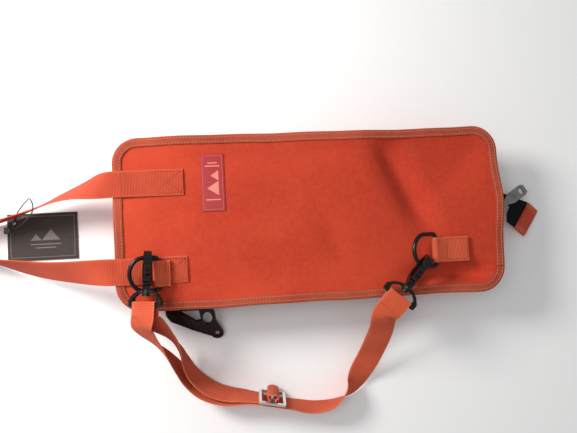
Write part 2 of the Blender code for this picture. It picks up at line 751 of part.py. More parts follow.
def strap_left_runs(placed):
    """The two layers between the slide and the left clip."""
    finish = orange_webbing()
    inner = [
        (*fold_end(placed, LEFT_TAIL, LEFT_SPREAD, 0), 30), (*fold_end(placed, LEFT_TAIL, LEFT_SPREAD, 5), 30),
        (-152.5, -94.5, 60.5, 37), (-145.5, -104, 50.5, 54), (-139, -113.5, 39, 73), (-134, -124.5, 28.5, 90),
        (-130, -136.5, 20.8, 103), (-124.5, -148, 15.8, 112), (-115.5, -158.9, 13.4, 117), (-104, -167.3, 12.8, 118),
        (-90, -172.6, 12.8, 114), (-75, -175, 14, 107), slide_place(-PASS_REACH, INNER_BEHIND),
        slide_place(-8, INNER_BEHIND),
    ]
    outer = [
        (*fold_end(placed, LEFT_TAIL, -LEFT_SPREAD, 0), 30), (*fold_end(placed, LEFT_TAIL, -LEFT_SPREAD, 5), 30),
        (-163.5, -94.5, 69.5, 36), (-159.5, -105.5, 58.5, 53), (-152.5, -117, 44.5, 74), (-145, -129, 31.5, 92),
        (-137, -142, 20.8, 105), (-128.5, -154.8, 15, 113), (-117.5, -165.8, 12.8, 117), (-105, -172.7, 12.3, 117),
        (-90, -176.7, 12.6, 114), (-74, -177.7, 13.8, 107), slide_place(-PASS_REACH - GAP, OUTER_BEHIND),
    ]
    ribbon("strap_left_inner", inner, finish, first_side=placed[1])
    ribbon("strap_left_outer", outer, finish, first_side=placed[1], last_side=slide_frame()[2])
    behind_slide = [slide_place(a, OUTER_BEHIND) for a in (-PASS_REACH, 0, PASS_REACH)]
    ribbon("strap_slide_pass", behind_slide, finish)


def strap_slide():
    """The metal tri-glide, with the webbing that is folded over its middle bar."""
    frame = slide_frame()
    origin, along, side, out = frame
    rim = [
        (x * (SLIDE_HALF_LENGTH - 3) + 3 * math.cos(a), y * (SLIDE_HALF_WIDTH - 3) + 3 * math.sin(a))
        for x, y, start in ((1, 1, 0), (-1, 1, 90), (-1, -1, 180), (1, -1, 270))
        for a in (math.radians(start + step) for step in (0, 30, 60, 90))
    ]
    slide = framed_plate("strap_slide", rim, frame, SLIDE_THICK, bright_metal())
    inner = SLIDE_BAR / 2
    outer = SLIDE_HALF_LENGTH - SLIDE_RAIL
    high = SLIDE_HALF_WIDTH - SLIDE_RAIL
    for sign in (-1, 1):
        window = [(sign * inner, -high), (sign * outer, -high), (sign * outer, high), (sign * inner, high)]
        cut(slide, framed_plate("window", window, frame, 12, bright_metal()))
    reach = SLIDE_BAR / 2 + GAP + WEB_THICK / 2
    top = SLIDE_THICK / 2 + GAP + WEB_THICK / 2
    hump = [(-reach - 1.2, -1.0), (-reach, 0.2), (-reach, top - 0.2), (-reach + 1.4, top + 0.9), (0, top + 1.3)]
    hump += [(-a, b) for a, b in hump[-2::-1]]
    folded_strip("slide_webbing", hump, (origin, along, out, side), WEB, WEB_THICK, orange_webbing())


def main():
    for found in list(bpy.data.objects):
        bpy.data.objects.remove(found)
    front_panel()
    rear_panel()
    binding("front_binding", BAG_HEIGHT - BINDING_HEIGHT)
    binding("rear_binding", 0.0)
    side_walls()
    zip_and_gusset()
    zip_tail()
    zip_sliders()
    label_patch()
    carry_handle()
    hang_tag()
    tag_cord()
    tab_and_ring("right", (119, -39, 54.2), 22, 0, 0.0, 152.5)
    tab_and_ring("left", (-148, -47.5, 57.3), 12, 8, 1.5, -137)
    strap_right_run(clip("right", CLIP_RIGHT, RIGHT_TAIL, RIGHT_SPREAD))
    strap_left_runs(clip("left", CLIP_LEFT, LEFT_TAIL, LEFT_SPREAD))
    strap_slide()


main()
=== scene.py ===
"""Looks for the zipped gear bag: soft cloth, ribbed webbing, stitching, moulded clips and the hang tag.

Lengths below are in millimetres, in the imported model's frame: the bag lies on its back on the floor,
+X runs from the carry handle to the zip tail and +Z points out of the front panel.
"""

from math import copysign, cos, exp, hypot, pi, radians, sin, tau

import bmesh
import bpy
from mathutils import Matrix, Vector, noise


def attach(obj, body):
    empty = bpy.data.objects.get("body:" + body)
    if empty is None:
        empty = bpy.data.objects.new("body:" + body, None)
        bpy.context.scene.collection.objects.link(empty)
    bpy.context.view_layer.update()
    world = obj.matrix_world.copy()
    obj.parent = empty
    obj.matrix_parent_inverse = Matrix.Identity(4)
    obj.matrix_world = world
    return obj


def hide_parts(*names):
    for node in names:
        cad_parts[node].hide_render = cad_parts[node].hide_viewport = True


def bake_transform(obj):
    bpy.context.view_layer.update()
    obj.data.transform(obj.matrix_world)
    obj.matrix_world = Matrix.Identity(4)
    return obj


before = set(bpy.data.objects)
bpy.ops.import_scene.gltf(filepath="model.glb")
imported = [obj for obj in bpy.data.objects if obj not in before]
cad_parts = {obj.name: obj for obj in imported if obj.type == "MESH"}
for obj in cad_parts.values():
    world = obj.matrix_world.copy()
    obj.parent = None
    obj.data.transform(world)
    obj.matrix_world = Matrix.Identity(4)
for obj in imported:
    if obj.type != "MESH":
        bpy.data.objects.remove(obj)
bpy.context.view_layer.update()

MM = 0.001
GAP = 0.3

# Bag shell
BAG_LENGTH = 378.0
BAG_WIDTH = 165.0
BAG_CORNER = 25.0
PANEL_TOP = 50.3
SEAM_DEPTH = 9.0
CLOTH_EDGE = -1.2  # the cloth ends this far inside the binding's fold
RIM_POINTS = 216
ZIP_MID = 25.0

# Webbing and hardware
WEB = 25.0
WEB_THICK = 1.3
RING_WIRE = 2.0
RING_HALF = 15.5
RING_LEG = 13.0
RING_CORNER = 3.0
TAB_WIDTH = 24.0
SHANK_MID = -3.5
FOLD_BAR = 41.1
FOLD_REACH = 3.15


def point(x, y, z):
    return Vector((x, y, z)) * MM


UP = Vector((0, 0, 1))


# ------------ materials

class Shader:
    """A Principled material that is being wired up node by node."""

    def __init__(self, name, roughness, metallic=0.0, sheen=0.0, specular=0.5):
        self.material = bpy.data.materials.new(name)
        self.material.use_nodes = True
        self.nodes = self.material.node_tree.nodes
        self.links = self.material.node_tree.links
        self.principled = self.nodes["Principled BSDF"]
        self.set("Roughness", roughness)
        self.set("Metallic", metallic)
        self.set("Sheen Weight", sheen)
        self.set("Specular IOR Level", specular)

    def feed(self, target, value):
        """Gives an input its value, which is plain or comes from another node."""
        if isinstance(value, bpy.types.NodeSocket):
            self.links.new(value, target)
        else:
            target.default_value = value

    def set(self, socket, value):
        self.feed(self.principled.inputs[socket], value)

    def node(self, kind, inputs=None, **settings):
        made = self.nodes.new(kind)
        for key, value in settings.items():
            setattr(made, key, value)
        for key, value in (inputs or {}).items():
            self.feed(made.inputs[key], value)
        return made

    def math(self, operation, first, second=0.0):
        return self.node("ShaderNodeMath", {0: first, 1: second}, operation=operation).outputs[0]

    def times(self, first, second):
        return self.math("MULTIPLY", first, second)

    def place(self, use_run=False):
        """Coordinates in metres: across the object, or along and across a strip's own run."""
        if use_run:
            return self.node("ShaderNodeUVMap", uv_map="run").outputs["UV"]
        return self.node("ShaderNodeTexCoord").outputs["Object"]

    def turned(self, place, turn, stretch=1.0):
        """Coordinates turned in degrees, with features squeezed in one direction."""
        inputs = {"Vector": place, "Scale": (1.0, stretch, 1.0), "Rotation": (0, 0, radians(turn))}
        return self.node("ShaderNodeMapping", inputs).outputs["Vector"]

    def waves(self, place, pitch, direction, distortion=0.0):
        """Ridges of one pitch in metres, from 0 to 1."""
        return self.node(
            "ShaderNodeTexWave",
            {"Vector": place, "Scale": pi / 10 / pitch, "Distortion": distortion, "Detail Scale": 1.0},
            wave_type="BANDS", bands_direction=direction, wave_profile="SIN",
        ).outputs["Fac"]

    def cloud(self, place, size, detail=3.0):
        """Soft noise with features of about the given size in metres."""
        return self.node(
            "ShaderNodeTexNoise", {"Vector": place, "Scale": 1.0 / size, "Detail": detail},
        ).outputs["Fac"]

    def blend(self, factor, first, second):
        """A colour between two, where each is a colour or a socket."""
        made = self.node("ShaderNodeMix", data_type="RGBA")
        for index, value in ((0, factor), (6, first), (7, second)):
            self.feed(made.inputs[index], (*value, 1.0) if isinstance(value, tuple) else value)
        return made.outputs[2]

    def fade(self, value, low, high, low_out=0.0, high_out=1.0):
        inputs = {"Value": value, "From Min": low, "From Max": high, "To Min": low_out, "To Max": high_out}
        return self.node("ShaderNodeMapRange", inputs).outputs["Result"]

    def finish(self, colour, height=None, depth=0.0001):
        """Wires up the colour, and a bump whose full height is depth in metres."""
        self.set("Base Color", colour)
        if height is not None:
            bump = self.node("ShaderNodeBump", {"Height": height, "Distance": depth, "Strength": 1.0})
            self.set("Normal", bump.outputs["Normal"])
        return self.material


def oxford_cloth(name, colour, faded, shaded):
    """Coarse plain-woven nylon: crossing threads, small scuffs, and painted shade that deepens towards the
    zip tail and the +Y edge.
    """
    made = Shader(name, 0.72, sheen=0.04, specular=0.18)
    place = made.place()
    over = made.waves(place, 0.00055, "X", 0.6)
    under = made.waves(place, 0.00055, "Y", 0.6)
    weave = made.times(over, under)
    slow = made.fade(made.cloud(place, 0.09, 4.0), 0.35, 0.68)
    fine = made.fade(made.cloud(place, 0.004, 5.0), 0.3, 0.75)
    # Painted shade: the cloth is coloured darker along a slant towards the zip tail and the +Y edge, standing
    # in for light that falls off across the panel. worn mixes this painted shade with slow random mottle.
    parts = made.node("ShaderNodeSeparateXYZ", {"Vector": place}).outputs
    painted_shade_slant = made.math("ADD", parts["X"], made.times(parts["Y"], 0.9))
    worn = made.blend(made.fade(painted_shade_slant, -0.15, 0.12, 0.0, 0.9), made.blend(slow, shaded, colour), shaded)
    mottled = made.blend(made.times(fine, 0.28), worn, faded)
    threads = made.blend(made.fade(weave, 0.0, 0.6, 0.22, 0.0), mottled, shaded)
    made.set("Roughness", made.fade(fine, 0.0, 1.0, 0.66, 0.84))
    height = made.math("ADD", weave, made.times(fine, 0.6))
    return made.finish(threads, height, 0.00012)


def ribbed_webbing(name, colour, light, shaded, pitch=0.0014):
    """Heavy webbing: ribs across the run, a woven grain, and edges that are worn paler."""
    made = Shader(name, 0.78, sheen=0.05, specular=0.15)
    run = made.place(use_run=True)
    ribs = made.waves(run, pitch, "X", 0.35)
    grain = made.waves(run, pitch * 0.42, "Y", 0.5)
    weave = made.times(made.math("ADD", ribs, 0.25), made.math("ADD", grain, 0.5))
    patch = made.fade(made.cloud(made.place(), 0.03, 4.0), 0.35, 0.7)
    base = made.blend(patch, shaded, colour)
    lit = made.blend(made.fade(weave, 0.1, 1.5, 0.0, 0.55), base, light)
    across = made.node("ShaderNodeSeparateXYZ", {"Vector": run}).outputs["Y"]
    edge = made.fade(made.math("ABSOLUTE", across), 0.0102, 0.0125)
    worn = made.blend(made.times(edge, 0.45), lit, light)
    return made.finish(worn, weave, 0.00028)


def binding_weave(name, colour, light, shaded):
    """Grosgrain binding: fine ribs across the tape and a paler worn outer fold."""
    made = Shader(name, 0.82, sheen=0.06, specular=0.12)
    run = made.place(use_run=True)
    ribs = made.waves(run, 0.00095, "X", 0.4)
    grain = made.cloud(made.place(), 0.0025, 5.0)
    patch = made.fade(made.cloud(made.place(), 0.05, 3.0), 0.35, 0.65)
    base = made.blend(patch, shaded, colour)
    across = made.node("ShaderNodeSeparateXYZ", {"Vector": run}).outputs["Y"]
    fold = made.fade(made.math("ABSOLUTE", across), 0.0032, 0.0, 0.0, 0.5)
    worn = made.blend(fold, base, light)
    lit = made.blend(made.fade(made.times(ribs, grain), 0.1, 0.6, 0.0, 0.4), worn, light)
    return made.finish(lit, made.math("ADD", ribs, made.times(grain, 0.5)), 0.00022)


def label_cloth(name, colour, light):
    """Close satin weave with a faint diagonal."""
    made = Shader(name, 0.55, sheen=0.1, specular=0.35)
    place = made.place()
    twill = made.waves(made.turned(place, 38), 0.0007, "X", 0.3)
    grain = made.cloud(place, 0.0016, 5.0)
    mixed = made.blend(made.times(twill, made.fade(grain, 0.3, 0.7, 0.05, 0.35)), colour, light)
    return made.finish(mixed, made.math("ADD", twill, grain), 0.00012)


def stitch_thread(name, colour, light):
    """Twisted sewing thread."""
    made = Shader(name, 0.6, sheen=0.2, specular=0.3)
    place = made.place()
    twist = made.waves(made.turned(place, 45), 0.0004, "X", 0.2)
    return made.finish(made.blend(made.times(twist, 0.5), colour, light), twist, 0.00008)


def moulded_plastic(name, colour, light):
    """Glossy acetal with a fine spark-eroded grain, dust in the low spots and scuffed places."""
    made = Shader(name, 0.34, specular=0.32)
    place = made.place()
    grain = made.cloud(place, 0.0009, 5.0)
    scuff = made.fade(made.cloud(made.turned(place, 25, 3.0), 0.006, 6.0), 0.52, 0.78)
    colours = made.blend(made.times(scuff, 0.5), colour, light)
    made.set("Roughness", made.fade(scuff, 0.0, 1.0, 0.26, 0.5))
    return made.finish(colours, grain, 0.00005)


def plated_metal(name, colour, dark, roughness):
    """Plated die-cast metal: brushed one way, with tarnish."""
    made = Shader(name, roughness, metallic=1.0)
    place = made.place()
    brushed = made.cloud(made.turned(place, 20, 12.0), 0.002, 4.0)
    tarnish = made.fade(made.cloud(place, 0.008, 5.0), 0.45, 0.8)
    made.set("Roughness", made.fade(brushed, 0.2, 0.8, roughness * 0.7, roughness * 1.4))
    return made.finish(made.blend(tarnish, colour, dark), brushed, 0.00004)


def zip_weave(name, colour, light):
    """Zip tape: a fine herringbone of matt polyester."""
    made = Shader(name, 0.85, sheen=0.04, specular=0.12)
    place = made.place()
    left = made.waves(made.turned(place, 45), 0.0009, "X", 0.2)
    right = made.waves(made.turned(place, -45), 0.0009, "X", 0.2)
    bone = made.times(left, right)
    return made.finish(made.blend(made.times(bone, 0.6), colour, light), bone, 0.00015)


def card_stock(name, colour, light):
    """Uncoated dark card with paper fibre and rubbed places."""
    made = Shader(name, 0.62, specular=0.3)
    place = made.place()
    fibre = made.cloud(made.turned(place, 15, 2.5), 0.0016, 6.0)
    rubbed = made.fade(made.cloud(place, 0.018, 5.0), 0.5, 0.8)
    mixed = made.blend(made.times(rubbed, 0.35), colour, light)
    return made.finish(made.blend(made.times(fibre, 0.15), mixed, light), fibre, 0.00006)


def braided_elastic(name, colour, light):
    """Thin round elastic with a braided cover."""
    made = Shader(name, 0.7, sheen=0.2, specular=0.3)
    place = made.place()
    left = made.waves(made.turned(place, 50), 0.0008, "X")
    right = made.waves(made.turned(place, -50), 0.0008, "X")
    braid = made.times(left, right)
    return made.finish(made.blend(braid, colour, light), braid, 0.0001)


def floor_paint(name, colour, darker):
    """Matt white paint with the faintest mottling."""
    made = Shader(name, 0.85, specular=0.1)
    grain = made.cloud(made.place(), 0.02, 3.0)
    return made.finish(made.blend(made.times(grain, 0.04), colour, darker))


MATERIALS = {
    "shell": oxford_cloth("shell_oxford", (0.66, 0.070, 0.024), (0.74, 0.115, 0.046), (0.47, 0.034, 0.0135)),
    "binding": binding_weave(
        "binding_grosgrain", (0.44, 0.070, 0.034), (0.58, 0.175, 0.095), (0.32, 0.041, 0.022)),
    "webbing": ribbed_webbing(
        "webbing_orange", (0.66, 0.078, 0.031), (0.78, 0.17, 0.085), (0.50, 0.046, 0.02)),
    # Painted light: the strap, its folded ends, the ring tabs and the slide hump use the orange webbing
    # painted lighter. This stands in for light on faces turned away from the key light.
    "strap": ribbed_webbing("webbing_strap_painted_lighter", (0.74, 0.098, 0.036), (0.84, 0.23, 0.11), (0.58, 0.056, 0.022)),
    "label": label_cloth("label_crimson", (0.37, 0.012, 0.018), (0.48, 0.05, 0.05)),
    "label_thread": stitch_thread("label_pale_thread", (0.72, 0.20, 0.15), (0.85, 0.36, 0.28)),
    "thread": stitch_thread("sewing_thread", (0.22, 0.02, 0.012), (0.40, 0.06, 0.035)),
    "pale_thread": stitch_thread("edge_thread_pale", (0.58, 0.17, 0.09), (0.74, 0.30, 0.18)),
    "plastic": moulded_plastic("acetal_black", (0.0045, 0.0042, 0.0042), (0.022, 0.020, 0.019)),
    "bright": plated_metal("nickel_plate", (0.86, 0.86, 0.85), (0.66, 0.65, 0.63), 0.30),
    "grey": plated_metal("gunmetal_plate", (0.30, 0.31, 0.29), (0.16, 0.165, 0.155), 0.38),
    "tape": zip_weave("zip_tape_black", (0.003, 0.0035, 0.005), (0.012, 0.013, 0.016)),
    "card": card_stock("tag_card_brown", (0.034, 0.024, 0.021), (0.085, 0.07, 0.062)),
    "print": card_stock("tag_print_grey", (0.16, 0.15, 0.14), (0.24, 0.225, 0.21)),
    "elastic": braided_elastic("elastic_black", (0.010, 0.010, 0.011), (0.07, 0.07, 0.072)),
    "floor": floor_paint("floor_white", (0.90, 0.90, 0.90), (0.84, 0.84, 0.84)),
}


# ------------ mesh helpers

SHARP_ANGLE = 48


def linked(name, data):
    made = bpy.data.objects.new(name, data)
    bpy.context.scene.collection.objects.link(made)
    return made


def piece(name, build, look, slot=None, smooth=True):
    """Makes an object from a bmesh, with its look. The slot argument is not used."""
    bmesh.ops.recalc_face_normals(build, faces=build.faces)
    mesh = bpy.data.meshes.new(name)
    build.to_mesh(mesh)
    build.free()
    mesh.materials.append(MATERIALS[look])
    if smooth:
        mesh.shade_smooth()
        mesh.set_sharp_from_angle(angle=radians(SHARP_ANGLE))
    made = linked(name, mesh)
    return made


def grid_solid(name, rows, look, slot, closed=False, uvs=None):
    """Joins equal closed rows of points in metres into one solid.

    uvs gives each row's (along, across) pairs.
    """
    build = bmesh.new()
    verts = [[build.verts.new(p) for p in row] for row in rows]
    layer = build.loops.layers.uv.new("run") if uvs else None
    count = len(rows[0])
    last = len(rows) if closed else len(rows) - 1
    for r in range(last):
        here, there = verts[r], verts[(r + 1) % len(rows)]
        for c in range(count):
            d = (c + 1) % count
            face = build.faces.new((here[c], here[d], there[d], there[c]))
            if layer:
                nearby = uvs[r + 1] if r + 1 < len(uvs) else uvs[0]
                for loop, uv in zip(face.loops, (uvs[r][c], uvs[r][d], nearby[d], nearby[c])):
                    loop[layer].uv = uv
    if not closed:
        build.faces.new(verts[0])
        build.faces.new(verts[-1])
    return piece(name, build, look, slot)


def smooth_route(stations, step):
    """Points and rolls along a Catmull-Rom curve through stations of (x, y, z, roll)."""
    values = [Vector((*s[:3], s[3])) for s in stations]
    values = [2 * values[0] - values[1]] + values + [2 * values[-1] - values[-2]]
    found = []
    for i in range(1, len(values) - 2):
        before, start, end, after = values[i - 1:i + 3]
        count = max(2, round((end - start).xyz.length / step))
        for k in range(count):
            t = k / count
            found.append(0.5 * (
                2 * start
                + (end - before) * t
                + (2 * before - 5 * start + 4 * end - after) * t * t
                + (3 * start - before - 3 * end + after) * t ** 3
            ))
    found.append(values[-2])
    return found


STRIP_ACROSS = (-1.0, -0.93, -0.8, -0.4, 0.0, 0.4, 0.8, 0.93, 1.0)
SELVEDGE_FROM, SELVEDGE_TO = 0.86, 0.97


def strip_half(v):
    """Half the thickness, as a share of the whole: it thins at the selvedge, behind a slight bead."""
    bead = 0.04 * (SELVEDGE_FROM < abs(v) < SELVEDGE_TO)
    return 0.5 * (1 - 0.45 * max(0.0, abs(v) - SELVEDGE_FROM) / (1 - SELVEDGE_FROM)) + bead


def strip(
    name, centres, sides, look="webbing", slot="orange_webbing", width=WEB, thick=WEB_THICK, crown=0.25,
):
    """Webbing along centres, in metres, with its width along sides, and a slight crown."""
    rows, uvs = [], []
    run = 0.0
    for i, (centre, side) in enumerate(zip(centres, sides)):
        ahead = centres[min(i + 1, len(centres) - 1)]
        behind = centres[max(i - 1, 0)]
        along = (ahead - behind).normalized()
        if 0 < i < len(centres) - 1:
            side = (side - along * side.dot(along)).normalized()
        face = along.cross(side).normalized()
        if i:
            run += (centre - centres[i - 1]).length
        row, uv = [], []
        for sign, order in ((1, STRIP_ACROSS), (-1, STRIP_ACROSS[::-1])):
            for v in order:
                lift = sign * thick * strip_half(v) + crown * (0.3 - v * v)
                row.append(centre + side * (v * width / 2 * MM) + face * (lift * MM))
                uv.append((run, v * width / 2 * MM))
        rows.append(row)
        uvs.append(uv)
    return grid_solid(name, rows, look, slot, uvs=uvs)


def route_strip(name, stations, step=3.0, first_side=None, last_side=None, **looks):
    """Webbing along stations of (x, y, z, roll). At roll 0 it lies flat, and roll turns it about its run."""
    route = smooth_route(stations, step)
    sides = []
    for i, place in enumerate(route):
        ahead = route[min(i + 1, len(route) - 1)].xyz
        behind = route[max(i - 1, 0)].xyz
        along = (ahead - behind).normalized()
        level = UP.cross(along).normalized()
        rise = along.cross(level)
        roll = radians(place[3])
        sides.append(level * cos(roll) + rise * sin(roll))
    if first_side:
        sides[0] = first_side
    if last_side:
        sides[-1] = last_side
    return strip(name, [p.xyz * MM for p in route], sides, **looks)


def rounded_path(corners, radius, steps=4):
    """An open path of 2-D corners with each inner corner rounded off."""
    found = [Vector(corners[0])]
    for before, corner, after in zip(corners, corners[1:], corners[2:]):
        corner = Vector(corner)
        back = Vector(before) - corner
        on = Vector(after) - corner
        reach = min(radius, back.length * 0.45, on.length * 0.45)
        start = corner + back.normalized() * reach
        end = corner + on.normalized() * reach
        for k in range(steps + 1):
            t = k / steps
            found.append(start * (1 - t) ** 2 + corner * (2 * t * (1 - t)) + end * t * t)
    found.append(Vector(corners[-1]))
    return found


def framed_strip(name, path, axes, **looks):
    """A strip bent along a path in a frame's first two axes, with its width along the third."""
    origin, first, second, normal = axes
    centres = [origin + first * (p.x * MM) + second * (p.y * MM) for p in path]
    return strip(name, centres, [normal] * len(centres), **looks)


def stitches(name, lines, look, body, pitch=3.1, length=2.3, radius=0.34):
    """Sewn thread along lines of points in millimetres: short swellings, each with pointed ends."""
    build = bmesh.new()
    for line in lines:
        for middle, along in spaced(line, pitch):
            across = UP.cross(along).normalized()
            rise = along.cross(across)
            tips = [build.verts.new((middle + along * (s * length / 2)) * MM) for s in (-1, 1)]
            rings = []
            for s in (-0.5, 0.5):
                centre = middle + along * (s * length * 0.62)
                rings.append([
                    build.verts.new((centre + (across * a + rise * b) * radius) * MM)
                    for a, b in ((1, 0), (0, 1), (-1, 0), (0, -1))
                ])
            for k in range(4):
                n = (k + 1) % 4
                build.faces.new((tips[0], rings[0][n], rings[0][k]))
                build.faces.new((rings[0][k], rings[0][n], rings[1][n], rings[1][k]))
                build.faces.new((tips[1], rings[1][k], rings[1][n]))
    made = piece(name, build, look)
    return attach(made, body)


def spaced(line, pitch):
    """(place, direction) at even steps along a line of points."""
    points = [Vector(p) for p in line]
    carry = pitch / 2
    for start, end in zip(points, points[1:]):
        span = (end - start).length
        if span < 1e-6:
            continue
        along = (end - start) / span
        while carry < span:
            yield start + along * carry, along
            carry += pitch
        carry -= span


def restyle(look, *nodes, bevel=0.0):
    """Gives CAD nodes their material, and softens their moulded edges."""
    for node in nodes:
        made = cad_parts[node]
        for material_slot in made.material_slots:
            material_slot.material = MATERIALS[look]
        if bevel:
            soften = made.modifiers.new("soften", "BEVEL")
            soften.width = bevel * MM
            soften.segments = 3
            soften.limit_method = "ANGLE"
            soften.angle_limit = radians(35)
            soften.harden_normals = True


# ------------ bag shell

def rim_place(t, out=0.0):
    """A place on the bag's rounded outline, for t from 0 to 1 round it, moved outwards by out."""
    half_x = BAG_LENGTH / 2 - BAG_CORNER
    half_y = BAG_WIDTH / 2 - BAG_CORNER
    turn = pi / 2 * BAG_CORNER
    sides = (2 * half_y, turn, 2 * half_x, turn, 2 * half_y, turn, 2 * half_x, turn)
    corners = ((1, 1), (-1, 1), (-1, -1), (1, -1))
    left = t * sum(sides)
    for k, side in enumerate(sides):
        if left <= side or k == 7:
            break
        left -= side
    quarter = k // 2
    angle = pi / 2 * quarter
    facing = Vector((cos(angle), sin(angle)))
    if k % 2:
        centre = Vector((corners[quarter][0] * half_x, corners[quarter][1] * half_y))
        angle += left / BAG_CORNER
        return centre + Vector((cos(angle), sin(angle))) * (BAG_CORNER + out)
    ahead = Vector((-facing.y, facing.x))
    half_side = side / 2
    reach = (half_x if k in (0, 4) else half_y) + BAG_CORNER
    return facing * (reach + out) + ahead * (left - half_side)


# The zip's end pushes the seam outwards by END_BULGE millimetres, at a share of the way round the rim.
END_BULGE = 4.6
END_BULGE_AT = 0.06
END_BULGE_SPREAD = 0.026


def rim_wobble(t):
    """The seam isn't quite straight: how far it strays outwards, in millimetres."""
    angle = t * tau
    stray = 0.45 * sin(3 * angle + 0.6) + 0.35 * sin(7 * angle + 2.0) + 0.2 * sin(17 * angle)
    return stray + END_BULGE * exp(-((t - END_BULGE_AT) / END_BULGE_SPREAD) ** 2)


def inside_rim(x, y):
    """Distance from the bag's edge inwards."""
    far_x = max(abs(x) - (BAG_LENGTH / 2 - BAG_CORNER), 0.0)
    far_y = max(abs(y) - (BAG_WIDTH / 2 - BAG_CORNER), 0.0)
    if far_x and far_y:
        return BAG_CORNER - hypot(far_x, far_y)
    return min(BAG_LENGTH / 2 - abs(x), BAG_WIDTH / 2 - abs(y))


# Each fold is (middle x, middle y, half length, half width, direction in degrees, depth).
# The first three make the long valley near the zip tail, and the next two the dents under the right ring.
PANEL_FOLDS = (
    (84.0, 52.0, 38.0, 12.5, -62.0, 12.5),
    (106.0, 4.0, 27.0, 13.0, -60.0, 10.0),
    (122.0, 44.0, 40.0, 46.0, -60.0, 5.0),
    (148.0, -66.0, 34.0, 11.0, -4.0, 14.0),
    (112.0, -66.0, 24.0, 9.0, 6.0, 6.0),
    (36.0, 30.0, 60.0, 30.0, -50.0, -1.6),
    (20.0, -20.0, 30.0, 12.0, -70.0, 2.2),
    (-20.0, -50.0, 90.0, 22.0, 6.0, 1.8),
    (-50.0, 60.0, 80.0, 14.0, -5.0, 1.6),
    (40.0, 68.0, 60.0, 10.0, 3.0, 2.0),
    (150.0, 40.0, 45.0, 18.0, 45.0, 2.4),
    (-140.0, 5.0, 26.0, 12.0, 12.0, 1.4),
)


def panel_height(x, y):
    """Height of the front panel: it sags inside its seam in soft folds, and puckers by the stitching."""
    depth = 0.0
    for middle_x, middle_y, half_long, half_wide, turn, deep in PANEL_FOLDS:
        angle = radians(turn)
        a = (x - middle_x) * cos(angle) + (y - middle_y) * sin(angle)
        b = -(x - middle_x) * sin(angle) + (y - middle_y) * cos(angle)
        depth += deep * exp(-(a / half_long) ** 2 - (b / half_wide) ** 2)
    broad = noise.noise(Vector((x / 46, y / 38, 0.3)))
    fine = noise.noise(Vector((x / 15, y / 15, 4.0)))
    depth += 0.55 * broad + 0.22 * fine
    edge = inside_rim(x, y)
    inward = 1 - exp(-max(edge - SEAM_DEPTH, 0.0) / 9)
    pucker = 0.35 * exp(-max(edge - SEAM_DEPTH, 0.0) / 7) * sin((x + 0.7 * y) / 2.6)
    sag = (max(depth, -0.3) + 0.35) * inward
    return PANEL_TOP - 0.25 - sag - abs(pucker) * min(1.0, max(edge - 7, 0) / 3)


PANEL_RINGS = 34
PANEL_CROWDING = 0.82  # below 1, the rings of the panel crowd together towards its edge

# The walls' section, from the front seam to the back, as (out from the outline, height).
WALL_SECTION = (
    (CLOTH_EDGE, 49.0), (-8.6, 48.2), (-9.4, 45.5), (-8.2, 42.5), (-7.0, 39.0), (-7.6, 35.5), (-10.6, 33.0),
    (-10.8, 25.0), (-10.6, 17.0), (-7.6, 14.5), (-7.2, 11.0), (-8.6, 7.0), (-9.4, 4.8), (-8.6, 2.9),
    (CLOTH_EDGE, 2.4), (CLOTH_EDGE, 1.2), (-9.2, 1.1), (-10.6, 0.1),
)
ZIP_BAND = (-11, -10)  # how far out the wall lies behind the zip tape, where it stays smooth
CREASED_HEIGHTS = (4, 47)


def wall_crease(t, out, height):
    """How far a crease pushes the wall out, away from the seams and the zip."""
    if ZIP_BAND[0] < out < ZIP_BAND[1] or not CREASED_HEIGHTS[0] < height < CREASED_HEIGHTS[1]:
        return 0.0
    return 0.5 * noise.noise(Vector((t * 46, height / 9, 1.0)))


def bag_shell():
    """The whole cloth body: sagging front, side walls that bulge between their seams, and the back."""
    rows = []
    for step in range(1, PANEL_RINGS + 1):
        share = (step / PANEL_RINGS) ** PANEL_CROWDING
        row = []
        for k in range(RIM_POINTS):
            edge = rim_place(k / RIM_POINTS, CLOTH_EDGE + rim_wobble(k / RIM_POINTS)) * share
            row.append(point(edge.x, edge.y, panel_height(edge.x, edge.y)))
        rows.append(row)
    for out, height in WALL_SECTION:
        row = []
        for k in range(RIM_POINTS):
            t = k / RIM_POINTS
            edge = rim_place(t, out + rim_wobble(t) * (out > -2) + wall_crease(t, out, height))
            row.append(point(edge.x, edge.y, height))
        rows.append(row)
    rows.append([Vector((p.x * 0.5, p.y * 0.5, p.z)) for p in rows[-1]])
    shell = grid_solid("bag_shell", rows, "shell", "shell_cloth")
    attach(shell, "bag")
    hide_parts("front_panel", "rear_panel", "side_wall_front", "side_wall_rear", "side_wall_join")


FRONT_BINDING = (47.0, 51.3)  # lowest and highest
REAR_BINDING = (0.0, 4.3)
BINDING_STEPS = 300
BINDING_FOLD = 5  # the point of the section where the tape turns over the seam
BINDING_RIPPLE = 0.12


def binding_section(low, high):
    """The tape's closed section as (out from the outline, height), from its top inner edge round the fold."""
    middle = (low + high) / 2
    half = (high - low) / 2
    return [
        (-8.6, high - 0.25), (-5.0, high + 0.02), (-1.6, high), (-0.45, high - 0.35),
        (0.0, middle + half * 0.4), (0.05, middle), (0.0, middle - half * 0.4),
        (-0.45, low + 0.35), (-1.6, low), (-5.0, low),
        (-8.6, low + 0.05), (-8.7, low + 0.7), (-1.3, low + 0.75), (-1.3, high - 0.75), (-8.7, high - 0.95),
    ]


